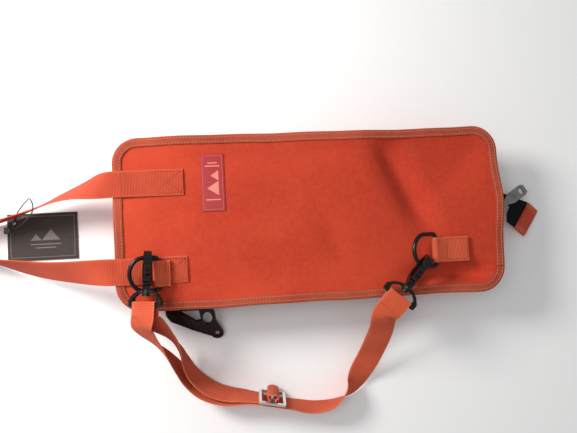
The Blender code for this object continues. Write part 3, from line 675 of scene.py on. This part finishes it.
def binding(name, node, low, high, ripple):
    """Grosgrain tape folded over the seam. Its upper face ripples, and it follows the wobbling edge."""
    section = binding_section(low, high)
    middle = (low + high) / 2
    reach = [0.0]
    for before, after in zip(section, section[1:]):
        reach.append(reach[-1] + (Vector(after) - Vector(before)).length)
    rows, uvs = [], []
    run = 0.0
    previous = rim_place(0.0)
    for k in range(BINDING_STEPS):
        t = k / BINDING_STEPS
        here = rim_place(t)
        run += (here - previous).length * MM
        previous = here
        row = []
        for out, height in section:
            edge = rim_place(t, out + rim_wobble(t))
            row.append(point(edge.x, edge.y, height + ripple * sin(t * 330) * (height > middle)))
        rows.append(row)
        uvs.append([(run, (r - reach[BINDING_FOLD]) * MM) for r in reach])
    made = grid_solid(name, rows, "binding", "binding_tape", closed=True, uvs=uvs)
    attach(made, "bag")
    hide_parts(node)


def seam_line(inset, height):
    """A stitching line round the bag, inset from its edge."""
    line = []
    for k in range(BINDING_STEPS + 1):
        t = (k % BINDING_STEPS) / BINDING_STEPS
        edge = rim_place(t, -inset + rim_wobble(t))
        line.append((edge.x, edge.y, height))
    return line


def bindings():
    binding("front_binding_tape", "front_binding", *FRONT_BINDING, BINDING_RIPPLE)
    binding("rear_binding_tape", "rear_binding", *REAR_BINDING, 0.0)
    stitches("binding_stitches", [seam_line(2.6, 51.36), seam_line(7.2, 51.2)], "pale_thread", "bag")


# ------------ handle

HANDLE_HINGE = -180.0
HANDLE_Z = 52.65
HANDLE_ROUTE = [
    (HANDLE_HINGE - GAP, 38.5, HANDLE_Z, 0), (-187, 38.4, HANDLE_Z, 0), (-194, 38.0, HANDLE_Z - 0.2, 4),
    (-206, 37.0, 49.0, 24), (-224, 35.0, 39.5, 52), (-244, 30.5, 30.0, 68), (-264, 23.5, 23.5, 78),
    (-284, 17.5, 18.5, 84), (-304, 11.5, 16.2, 88), (-324, 7.0, 14.5, 90), (-340, 3.5, 13.6, 90),
    (-350, -4.5, 13.4, 90), (-347, -14.5, 13.4, 90), (-335, -21.5, 13.6, 88), (-318, -27.0, 14.6, 82),
    (-300, -31.5, 17.0, 70), (-280, -36.0, 21.0, 58), (-258, -40.0, 27.5, 48), (-234, -42.5, 36.0, 36),
    (-212, -43.7, 46.5, 20), (-196, -44.2, HANDLE_Z - 0.2, 4), (-187, -44.4, HANDLE_Z, 0),
    (HANDLE_HINGE - GAP, -44.5, HANDLE_Z, 0),
]
HANDLE_ENDS = (("upper", 38.5, -122), ("lower", -44.5, -121))  # middle line and sewn end
BOX_LENGTH = 29.0
BOX_HALF_WIDTH = 10.4


def on_panel(x, y, above):
    return panel_height(x, y) + above


def handle_anchor(name, middle, end):
    """The sewn end of the handle, laid on the panel and carried over the binding."""
    side = Vector((0, -1, 0))
    route = [(end - back, middle, on_panel(end - back, middle, above), 0)
             for back, above in ((0, 0.9), (10, 0.9), (20, 0.95))]
    route += [(-158, middle, 51.3, 0), (-170, middle, 51.9, 0), (HANDLE_HINGE - 0.4, middle, HANDLE_Z, 0)]
    made = route_strip(f"handle_end_{name}", route, first_side=side, last_side=side)
    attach(made, "bag")
    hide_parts(f"handle_anchor_{name}")


def box_stitching(name, middle, end):
    """The box with a cross sewn through each handle end."""
    high, low = middle + BOX_HALF_WIDTH, middle - BOX_HALF_WIDTH
    right, left = end - 1.9, end - BOX_LENGTH
    box = [(right, low), (right, high), (left, high), (left, low), (right, low)]
    crossed = [(right, low), (left, high)], [(left, low), (right, high)]
    lines = [[(x, y, on_panel(x, y, 1.55)) for x, y in dense(corners)] for corners in (box, *crossed)]
    stitches(f"handle_stitching_{name}", lines, "thread", "bag", pitch=2.6, length=2.1, radius=0.32)


def dense(corners, step=3.0):
    """Corners of a 2-D line with points added between them."""
    found = []
    for start, end in zip(corners, corners[1:]):
        start, end = Vector(start), Vector(end)
        count = max(1, round((end - start).length / step))
        found += [tuple(start.lerp(end, k / count)) for k in range(count)]
    found.append(tuple(corners[-1]))
    return found


def handle():
    for end in HANDLE_ENDS:
        handle_anchor(*end)
    for end in HANDLE_ENDS:
        box_stitching(*end)
    side = Vector((0, 1, 0))
    strap = route_strip("handle_webbing", HANDLE_ROUTE, first_side=-side, last_side=side)
    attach(strap, "handle")
    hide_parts("handle_strap")


# ------------ rings, clips and strap

RINGS = {
    "right": dict(bar=(119, -39, 54.2), lean=22, roll=0, slack=0.0, tail_end=152.5),
    "left": dict(bar=(-148, -47.5, 57.3), lean=12, roll=8, slack=1.5, tail_end=-137),
}
CLIPS = {
    "right": dict(eye=(104.7, -51.6, 60.9), heading=229.0, pitch=-6.0, jaw_turn=-90.0, base_turn=0.0),
    "left": dict(eye=(-156.9, -34.4, 61.9), heading=266.0, pitch=5.0, jaw_turn=-102.0, base_turn=30.0),
}
TAILS = {"right": (54.0, 0.85), "left": (48.0, 3.5)}  # where each fold's free end is, and half its opening
WIRE_SIDES = 16


def arc(centre_a, centre_b, radius_a, radius_b, start, end, steps):
    found = []
    for i in range(steps + 1):
        angle = radians(start + (end - start) * i / steps)
        found.append((centre_a + radius_a * cos(angle), centre_b + radius_b * sin(angle)))
    return found


def ring(side, bar, lean, roll, slack, tail_end):
    """The moulded D-ring, with its webbing tab folded round the straight side."""
    rise, cant = radians(lean), radians(roll)
    bow = Vector((-cos(rise), 0, sin(rise)))
    cross = Matrix.Rotation(cant, 3, Vector((1, 0, 0))) @ Vector((0, 1, 0))
    outline = arc(RING_CORNER, RING_HALF - RING_CORNER, RING_CORNER, RING_CORNER, 180, 90, 6)
    outline += arc(RING_LEG, 0, RING_LEG, RING_HALF, 90, -90, 30)
    outline += arc(RING_CORNER, -RING_HALF + RING_CORNER, RING_CORNER, RING_CORNER, 270, 180, 6)
    path = [point(*bar) + bow * (a * MM) + cross * (b * MM) for a, b in outline]
    normal = bow.cross(cross)
    rows = []
    for i, place in enumerate(path):
        along = (path[(i + 1) % len(path)] - path[i - 1]).normalized()
        out = along.cross(normal)
        turns = [k * tau / WIRE_SIDES for k in range(WIRE_SIDES)]
        rows.append([place + (out * cos(a) + normal * sin(a)) * RING_WIRE * MM for a in turns])
    made = grid_solid(f"moulded_ring_{side}", rows, "plastic", "black_plastic", closed=True)
    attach(made, f"d_ring_{side}")
    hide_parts(f"d_ring_{side}")
    tab(side, bar, slack, tail_end)


def tab(side, bar, slack, tail_end):
    """The webbing folded round the ring's bar and sewn down beside it."""
    bend = RING_WIRE + GAP + WEB_THICK / 2 + slack
    length = tail_end - bar[0]
    layers = WEB_THICK + 0.45
    path = [(length, -bend + layers), (length * 0.7, -bend + layers), (8.0, -bend + layers)]
    path += arc(0, 0, bend, bend, 62, 270, 16)
    path += [(length * 0.6, -bend), (length, -bend)]
    path = [Vector(p) for p in path]
    axes = (point(*bar), Vector((1, 0, 0)), UP, Vector((0, 1, 0)))
    made = framed_strip(f"ring_loop_{side}", path, axes, look="strap", width=TAB_WIDTH, crown=0.0)
    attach(made, "bag")
    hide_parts(f"ring_tab_{side}")
    near, far = bar[0] + 9.5, tail_end - 1.6
    top = bar[2] - bend + layers + WEB_THICK / 2 + 0.05
    low, high = bar[1] - TAB_WIDTH / 2 + 1.8, bar[1] + TAB_WIDTH / 2 - 1.8
    lines = [[(far, low, top), (far, high, top)]]
    if far - near > 12:
        near += 2
        lines += [[(near, y, top), (far, y, top)] for y in (low, high)]
        lines.append([(near, low, top), (near, high, top)])
    stitches(f"ring_loop_stitching_{side}", lines, "thread", "bag", pitch=2.6, length=2.0, radius=0.3)


def clip_axes(eye, heading, pitch, jaw_turn, base_turn):
    """The base's frame, set on the swivel's own line: across, along and thickness."""
    turn, drop = radians(heading), radians(pitch)
    along = Vector((cos(turn) * cos(drop), sin(turn) * cos(drop), sin(drop)))
    level = UP.cross(along).normalized()
    jaw_across = Matrix.Rotation(radians(jaw_turn), 3, along) @ level
    across = Matrix.Rotation(radians(base_turn), 3, along) @ level
    return point(*eye) + jaw_across * (SHANK_MID * MM), across, along, across.cross(along)


def fold_end(axes, tail, spread, ahead):
    """A place on the middle line of one layer of a strap fold, ahead of its free end, in millimetres."""
    origin, _, along, normal = axes
    rise = spread - copysign(FOLD_REACH, spread) if spread else 0.0
    run = Vector((tail - FOLD_BAR - 3, rise)).normalized() * (GAP + ahead)
    return (origin + along * ((tail + run.x) * MM) + normal * ((spread + run.y) * MM)) / MM


def strap_fold(side, axes):
    """The strap's end sewn round the swivel loop's bar."""
    origin, across, along, normal = axes
    tail, spread = TAILS[side]
    near = FOLD_BAR - 1.8 - GAP - WEB_THICK / 2
    half = [(tail, spread), (FOLD_BAR + 3, FOLD_REACH), (FOLD_BAR - 1, FOLD_REACH), (near, FOLD_REACH)]
    corners = half + [(a, -b) for a, b in half[::-1]]
    path = rounded_path(corners, 1.6)
    made = framed_strip(f"strap_end_{side}", path, (origin, along, normal, across), look="strap", crown=0.0)
    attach(made, f"clip_base_{side}")
    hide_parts(f"strap_fold_{side}")
    if side == "right":
        face = -normal * ((spread + WEB_THICK / 2 + 0.05) * MM)
        lines = [
            [(origin + along * (a * MM) + across * (b * MM) + face) / MM for b in ends]
            for a, ends in ((50.8, (-10.8, 10.8)), (52.6, (10.8, -10.8)))
        ]
        stitches(
            "strap_end_stitching", lines, "thread", f"clip_base_{side}", pitch=2.4, length=1.9, radius=0.3)


SLIDE_CENTRE = (-45.9, -178.4, 16.4)
SLIDE_YAW = -12.0
SLIDE_LEAN = 101.0
SLIDE_BAR = 3.2
SLIDE_THICK = 2.4
PASS_REACH = 14.8  # half the straight stretch of strap behind the tri-glide
INNER_BEHIND = 2.2
OUTER_BEHIND = 4.1

FOLD_OVERLAP = -0.28  # each run starts this far into the fold's end gap, so that no light shows through
LAYER_ROLL = 30

# Stations of the free runs, from the clip downwards: x, y, z and roll.
STRAP_RUNS = {
    "right": (
        (63, -114, 43, -3), (59.5, -129, 30, -5), (54.5, -144, 18.5, -9), (47.5, -158, 11.0, -16),
        (39, -171.5, 9.5, -38), (29, -182, 12.8, -72), (15, -189.7, 13.4, -96), (-1, -191.8, 12.9, -105),
        (-14, -190, 13.4, -106), (-24, -187.4, 14.6, -103),
    ),
    "inner": (
        (-152.5, -94.5, 60.5, 37), (-145.5, -104, 50.5, 54), (-139, -113.5, 39, 73), (-134, -124.5, 28.5, 90),
        (-130, -136.5, 20.8, 103), (-124.5, -148, 15.8, 112), (-115.5, -158.9, 13.4, 117),
        (-104, -167.3, 12.8, 118), (-90, -172.6, 12.8, 114), (-75, -175, 14, 107),
    ),
    "outer": (
        (-163.5, -94.5, 69.5, 36), (-159.5, -105.5, 58.5, 53), (-152.5, -117, 44.5, 74),
        (-145, -129, 31.5, 92), (-137, -142, 20.8, 105), (-128.5, -154.8, 15, 113),
        (-117.5, -165.8, 12.8, 117), (-105, -172.7, 12.3, 117), (-90, -176.7, 12.6, 114),
        (-74, -177.7, 13.8, 107),
    ),
}


def slide_axes():
    yaw, lean = radians(SLIDE_YAW), radians(SLIDE_LEAN)
    along = Vector((cos(yaw), sin(yaw), 0))
    level = UP.cross(along)
    side = level * cos(lean) + UP * sin(lean)
    return point(*SLIDE_CENTRE), along, side, side.cross(along)


def slide_place(ahead, behind):
    """A place beside the slide's middle: so far along the strap, and behind the slide, in millimetres."""
    origin, along, _, out = slide_axes()
    return (*(origin / MM + along * ahead - out * behind), SLIDE_LEAN)


def strap_run(name, side, spread, ahead, roll, tail_stations):
    """A free run's stations: out of the clip's fold, down its own places and on to the tri-glide."""
    axes = clip_axes(**CLIPS[side])
    tail = TAILS[side][0]
    leaving = [(*fold_end(axes, tail, spread, a), roll) for a in (FOLD_OVERLAP, ahead)]
    return [*leaving, *STRAP_RUNS[name], *tail_stations]


def right_run(across, slide_side):
    run = strap_run("right", "right", 0.0, 8, 0, [(*slide_place(PASS_REACH, OUTER_BEHIND)[:3], -SLIDE_LEAN)])
    made = route_strip("strap_right", run, first_side=across, last_side=-slide_side, look="strap")
    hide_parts("strap_right_run")
    high = fold_end(clip_axes(**CLIPS["right"]), TAILS["right"][0], 0.0, 0) * MM
    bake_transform(made)


def left_layer(name, spread, tail_stations, nodes, across, slide_side=None):
    run = strap_run(name, "left", spread, 5, LAYER_ROLL, tail_stations)
    made = route_strip(f"strap_{name}_layer", run, first_side=across, last_side=slide_side, look="strap")
    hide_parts(*nodes)
    point(*run[0][:3])
    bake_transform(made)


def shoulder_strap():
    """The strap's two sewn ends, its free runs, and its fold over the tri-glide."""
    across = {}
    for side in ("right", "left"):
        axes = clip_axes(**CLIPS[side])
        strap_fold(side, axes)
        across[side] = axes[1]
    slide_side = slide_axes()[2]
    right_run(across["right"], slide_side)
    spread = TAILS["left"][1]
    ending = [slide_place(-PASS_REACH, INNER_BEHIND), slide_place(-8, INNER_BEHIND)]
    left_layer("inner", spread, ending, ["strap_left_inner"], across["left"])
    ending = [slide_place(a, OUTER_BEHIND) for a in (-PASS_REACH, 0, PASS_REACH - 0.1)]
    left_layer("outer", -spread, ending, ["strap_left_outer", "strap_slide_pass"], across["left"], slide_side)
    slide_hump()


def slide_hump():
    """The webbing folded over the tri-glide's middle bar, standing up in a rounded hump."""
    origin, along, side, out = slide_axes()
    reach = SLIDE_BAR / 2 + GAP + WEB_THICK / 2
    top = SLIDE_THICK / 2 + GAP + WEB_THICK / 2
    half = [
        (-reach - 1.2, -1.0), (-reach, 0.2), (-reach - 0.5, top + 0.9), (-reach - 3.0, top + 2.6),
        (-reach - 1.9, top + 5.0),
    ]
    corners = half + [(0, top + 5.9)] + [(-a, b) for a, b in half[::-1]]
    path = rounded_path(corners, 1.2)
    made = framed_strip("slide_hump", path, (origin, along, out, side), look="strap", crown=0.0)
    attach(made, "strap_slide")
    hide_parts("slide_webbing")


# ------------ zip

ZIP_END_RIGHT = 4.0
ZIP_END_LEFT = -150.0
TOOTH_PITCH = 1.5
TOOTH_LENGTH = 1.05
TOOTH_SECTION = ((0.35, -1.5), (1.5, -1.3), (2.4, -0.4), (2.4, 0.4), (1.5, 1.3), (0.35, 1.5))  # out and up


def zip_teeth():
    """The coil's turns along the zip: small loops side by side."""
    radius = BAG_CORNER - SEAM_DEPTH
    corner = arc(BAG_LENGTH / 2 - BAG_CORNER, -BAG_WIDTH / 2 + BAG_CORNER, radius, radius, 0, -90, 8)
    run = [(BAG_LENGTH / 2 - SEAM_DEPTH, ZIP_END_RIGHT), *corner, (ZIP_END_LEFT, -BAG_WIDTH / 2 + SEAM_DEPTH)]
    build = bmesh.new()
    for middle, along in spaced([(x, y, ZIP_MID) for x, y in run], TOOTH_PITCH):
        out = Vector((-along.y, along.x, 0))
        if out.dot(middle) < 0:
            out = -out
        ends = [
            [build.verts.new((middle + along * (s * TOOTH_LENGTH) + out * d + Vector((0, 0, h))) * MM)
             for d, h in TOOTH_SECTION]
            for s in (-0.5, 0.5)
        ]
        count = len(TOOTH_SECTION)
        for k in range(count):
            n = (k + 1) % count
            build.faces.new((ends[0][k], ends[0][n], ends[1][n], ends[1][k]))
        build.faces.new(ends[0])
        build.faces.new(ends[1])
    made = piece("zip_teeth", build, "plastic", "black_tape")
    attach(made, "bag")
    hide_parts("zip_coil")


TAIL_ROOT_Y = 11.0
TAIL_DROOP = 16.0
TAIL_EDGE = ((40.5, -31), (61, -5))  # the loose end's cut edge, along and across the tail
TAB_REACH = 15.2
TAB_LENGTH = 33.0


def zip_tab():
    """The webbing tab folded over the zip tape's loose end."""
    origin = point(BAG_LENGTH / 2 - SEAM_DEPTH + GAP, TAIL_ROOT_Y, ZIP_MID)
    droop = radians(TAIL_DROOP)
    along = Vector((cos(droop), 0, -sin(droop)))
    across = Vector((0, 1, 0))
    normal = along.cross(across)
    start, end = (Vector(p) for p in TAIL_EDGE)
    run = (end - start).normalized()
    out = Vector((run.y, -run.x))
    run_3d = along * run.x + across * run.y
    out_3d = along * out.x + across * out.y
    middle = start + out * GAP + run * (TAB_LENGTH / 2)
    centre = origin + along * (middle.x * MM) + across * (middle.y * MM)
    path = rounded_path([(0.1, 1.15), (TAB_REACH, 1.15), (TAB_REACH, -1.15), (0.1, -1.15)], 1.1)
    made = framed_strip("zip_tab_fold", path, (centre, out_3d, normal, run_3d), width=TAB_LENGTH, crown=0.0)
    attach(made, "bag")
    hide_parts("zip_end_tab")
    top = normal * (1.9 * MM)
    if top.z < 0:
        top = -top
    ends = [(centre + out_3d * (2.0 * MM) + run_3d * (s * 15.0 * MM) + top) / MM for s in (-1, 1)]
    stitches("zip_tab_stitching", [ends], "thread", "bag", pitch=2.6, length=2.0, radius=0.3)


# ------------ label and hang tag

def flat_shape(build, outline, low, high):
    """A flat prism between two height functions of x and y, in millimetres."""
    lower = [build.verts.new(point(x, y, low(x, y))) for x, y in outline]
    upper = [build.verts.new(point(x, y, high(x, y))) for x, y in outline]
    build.faces.new(lower[::-1])
    build.faces.new(upper)
    for k in range(len(outline)):
        n = (k + 1) % len(outline)
        build.faces.new((lower[k], lower[n], upper[n], upper[k]))


def bar_shape(x0, y0, x1, y1):
    return [(x0, y0), (x1, y0), (x1, y1), (x0, y1)]


LABEL_BOX = (-105.0, 9.0, -83.0, 64.0)
LABEL_STEPS = (8, 20)
LABEL_PEAK_FOOT = -88.5
LABEL_PEAKS = ((31.0, 7.0, 11.0), (43.2, 5.0, 7.5))  # middle, half width and rise
LABEL_BARS = ((52.5, 7.0), (55.5, 4.5), (20.0, 7.0))  # place and half length
LABEL_BAR_MIDDLE = -94.0


def label():
    """The woven label, with a stitched border and a plain mark of two peaks and three bars."""
    x0, y0, x1, y1 = LABEL_BOX
    columns, steps = LABEL_STEPS
    rows = []
    for j in range(steps + 1):
        y = y0 + (y1 - y0) * j / steps
        xs = [x0 + (x1 - x0) * k / columns for k in range(columns + 1)]
        row = [point(x, y, on_panel(x, y, 0.95 if 0 < j < steps and x0 < x < x1 else 0.75)) for x in xs]
        row += [point(x, y, on_panel(x, y, 0.25)) for x in xs[::-1]]
        rows.append(row)
    made = grid_solid("woven_label", rows, "label", "label_weave")
    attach(made, "bag")
    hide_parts("label_patch")
    label_mark()
    x0, y0, x1, y1 = x0 + 1.6, y0 + 1.6, x1 - 1.6, y1 - 1.6
    inset = [*bar_shape(x0, y0, x1, y1), (x0, y0)]
    border = [(x, y, on_panel(x, y, 1.02)) for x, y in dense(inset, 2.0)]
    stitches("label_border", [border], "label_thread", "bag", pitch=1.9, length=1.5, radius=0.26)


def label_mark():
    """The label's woven mark, which follows the panel's height."""
    build = bmesh.new()
    foot, bar = LABEL_PEAK_FOOT, LABEL_BAR_MIDDLE
    shapes = [[(foot, m - half), (foot, m + half), (foot - rise, m)] for m, half, rise in LABEL_PEAKS]
    shapes += [bar_shape(bar - half, y - 0.6, bar + half, y + 0.6) for y, half in LABEL_BARS]
    for shape in shapes:
        flat_shape(build, shape, lambda x, y: on_panel(x, y, 0.85), lambda x, y: on_panel(x, y, 1.08))
    mark = piece("label_mark", build, "label_thread", smooth=False)
    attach(mark, "bag")


CARD_TOP = 1.0
PRINT_FRAME = (-300.6, -26.1, -237.4, 15.6)
PRINT_LINE = 0.55
PRINT_PEAK_FOOT = -9.0
PRINT_PEAKS = ((-261.0, 9.0, 11.0), (-275.6, 5.4, 6.6))
PRINT_BARS = ((-13.0, 15.0), (-16.5, 10.0))
PRINT_BAR_MIDDLE = -266.0


def hang_tag():
    """Print on the card tag: a thin frame line, open at the eye, and a plain mark of two peaks and bars."""
    x0, y0, x1, y1 = PRINT_FRAME
    line, foot, bar = PRINT_LINE, PRINT_PEAK_FOOT, PRINT_BAR_MIDDLE
    inner = y0 + line + 0.01
    shapes = [
        bar_shape(x0 + 11, y1 - line, x1, y1), bar_shape(x0, y0, x1, y0 + line),
        bar_shape(x0, inner, x0 + line, y1 - 12), bar_shape(x1 - line, inner, x1, y1 - line - 0.01),
    ]
    shapes += [[(m - half, foot), (m + half, foot), (m, foot + rise)] for m, half, rise in PRINT_PEAKS]
    shapes += [bar_shape(bar - half, y - 0.5, bar + half, y + 0.5) for y, half in PRINT_BARS]
    build = bmesh.new()
    for shape in shapes:
        flat_shape(build, shape, lambda *_: CARD_TOP - 0.02, lambda *_: CARD_TOP + 0.05)
    mark = piece("tag_print", build, "print", "tag_card", smooth=False)
    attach(mark, "tag")


CORD_DIAMETER = 1.2
CORD_ROUTE = [
    (-297.0, 9.0, 1.95), (-296.0, 14.0, 1.95), (-292.0, 21.0, 2.6), (-286.0, 26.5, 7.0),
    (-279.0, 30.0, 16.0), (-273.0, 31.0, 27.0), (-268.0, 28.5, 36.0), (-265.5, 22.5, 38.6),
    (-268.0, 16.5, 34.5), (-276.0, 11.5, 24.0), (-286.0, 7.0, 12.5), (-294.0, 3.6, 4.6), (-299.0, 2.2, 2.5),
]


def tag_elastic():
    """The thin elastic from the tag's eye, round the handle, to its toggle."""
    route = [p.xyz * MM for p in smooth_route([(*p, 0) for p in CORD_ROUTE], 2.4)]
    curve = bpy.data.curves.new("tag_loop", "CURVE")
    curve.dimensions = "3D"
    curve.bevel_depth = CORD_DIAMETER / 2 * MM
    curve.bevel_resolution = 3
    curve.use_fill_caps = True
    spline = curve.splines.new("POLY")
    spline.points.add(len(route) - 1)
    for target, place in zip(spline.points, route):
        target.co = (*place, 1.0)
    curve.materials.append(MATERIALS["elastic"])
    made = linked("tag_loop", curve)
    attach(made, "handle")
    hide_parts("tag_cord")


# ------------ scene

def carried_nodes():
    """Materials for the CAD solids that are shown as they are."""
    clips = [f"clip_{part}_{side}" for part in ("jaw", "gate", "base") for side in ("left", "right")]
    restyle("plastic", *clips, bevel=0.7)
    restyle("plastic", "zip_pull_left", "zip_slider_left", "tag_toggle", bevel=0.5)
    restyle("grey", "zip_pull_right", "zip_slider_right", bevel=0.4)
    restyle("bright", "strap_slide", bevel=0.7)
    restyle("tape", "zip_tape", "zip_tail")
    restyle("card", "hang_tag", bevel=0.12)


def floor():
    """A plain pale floor, just under the bag."""
    build = bmesh.new()
    bmesh.ops.create_grid(build, x_segments=8, y_segments=8, size=3.0)
    bmesh.ops.translate(build, verts=build.verts, vec=(0, 0, -0.0002))
    piece("studio_floor", build, "floor", smooth=False)


AIR_STRENGTH = 0.38
CAMERA_PLACE = (-72.74, -31.73, 618.56)
CAMERA_TURN = (3.4906, -4.8258, -2.9844)
CAMERA_LENS = 36.905


def area_light(name, place, aim, size, power, colour):
    """A round soft light, placed and aimed in metres."""
    data = bpy.data.lights.new(name, "AREA")
    data.shape = "DISK"
    data.size = size
    data.energy = power
    data.color = colour
    made = linked(name, data)
    made.location = place
    made.rotation_euler = (Vector(aim) - Vector(place)).to_track_quat("-Z", "Y").to_euler()


def studio():
    scene = bpy.context.scene
    world = bpy.data.worlds.new("studio_air")
    world.use_nodes = True
    air = world.node_tree.nodes["Background"].inputs
    air["Color"].default_value = (1.0, 1.0, 1.0, 1.0)
    air["Strength"].default_value = AIR_STRENGTH
    scene.world = world
    scene.view_settings.view_transform = "Standard"
    area_light("key_light", (-0.64, 0.34, 0.52), (-0.02, 0.0, 0.03), 0.3, 7.9, (1.0, 0.985, 0.96))
    area_light("fill_light", (-0.5, 0.1, 1.4), (-0.05, -0.1, 0.0), 0.8, 5.0, (0.97, 0.985, 1.0))


def camera():
    data = bpy.data.cameras.new("photo_camera")
    data.lens = CAMERA_LENS
    data.sensor_width = 36.0
    data.sensor_fit = "HORIZONTAL"
    data.clip_start = 0.01
    made = linked("photo_camera", data)
    made.location = point(*CAMERA_PLACE)
    made.rotation_euler = tuple(radians(a) for a in CAMERA_TURN)
    bpy.context.scene.camera = made


camera()
studio()
floor()
tag_elastic()
hang_tag()
carried_nodes()
bag_shell()
bindings()
zip_teeth()
zip_tab()
label()
handle()
ring("right", **RINGS["right"])
ring("left", **RINGS["left"])
shoulder_strap()
bpy.context.view_layer.update()
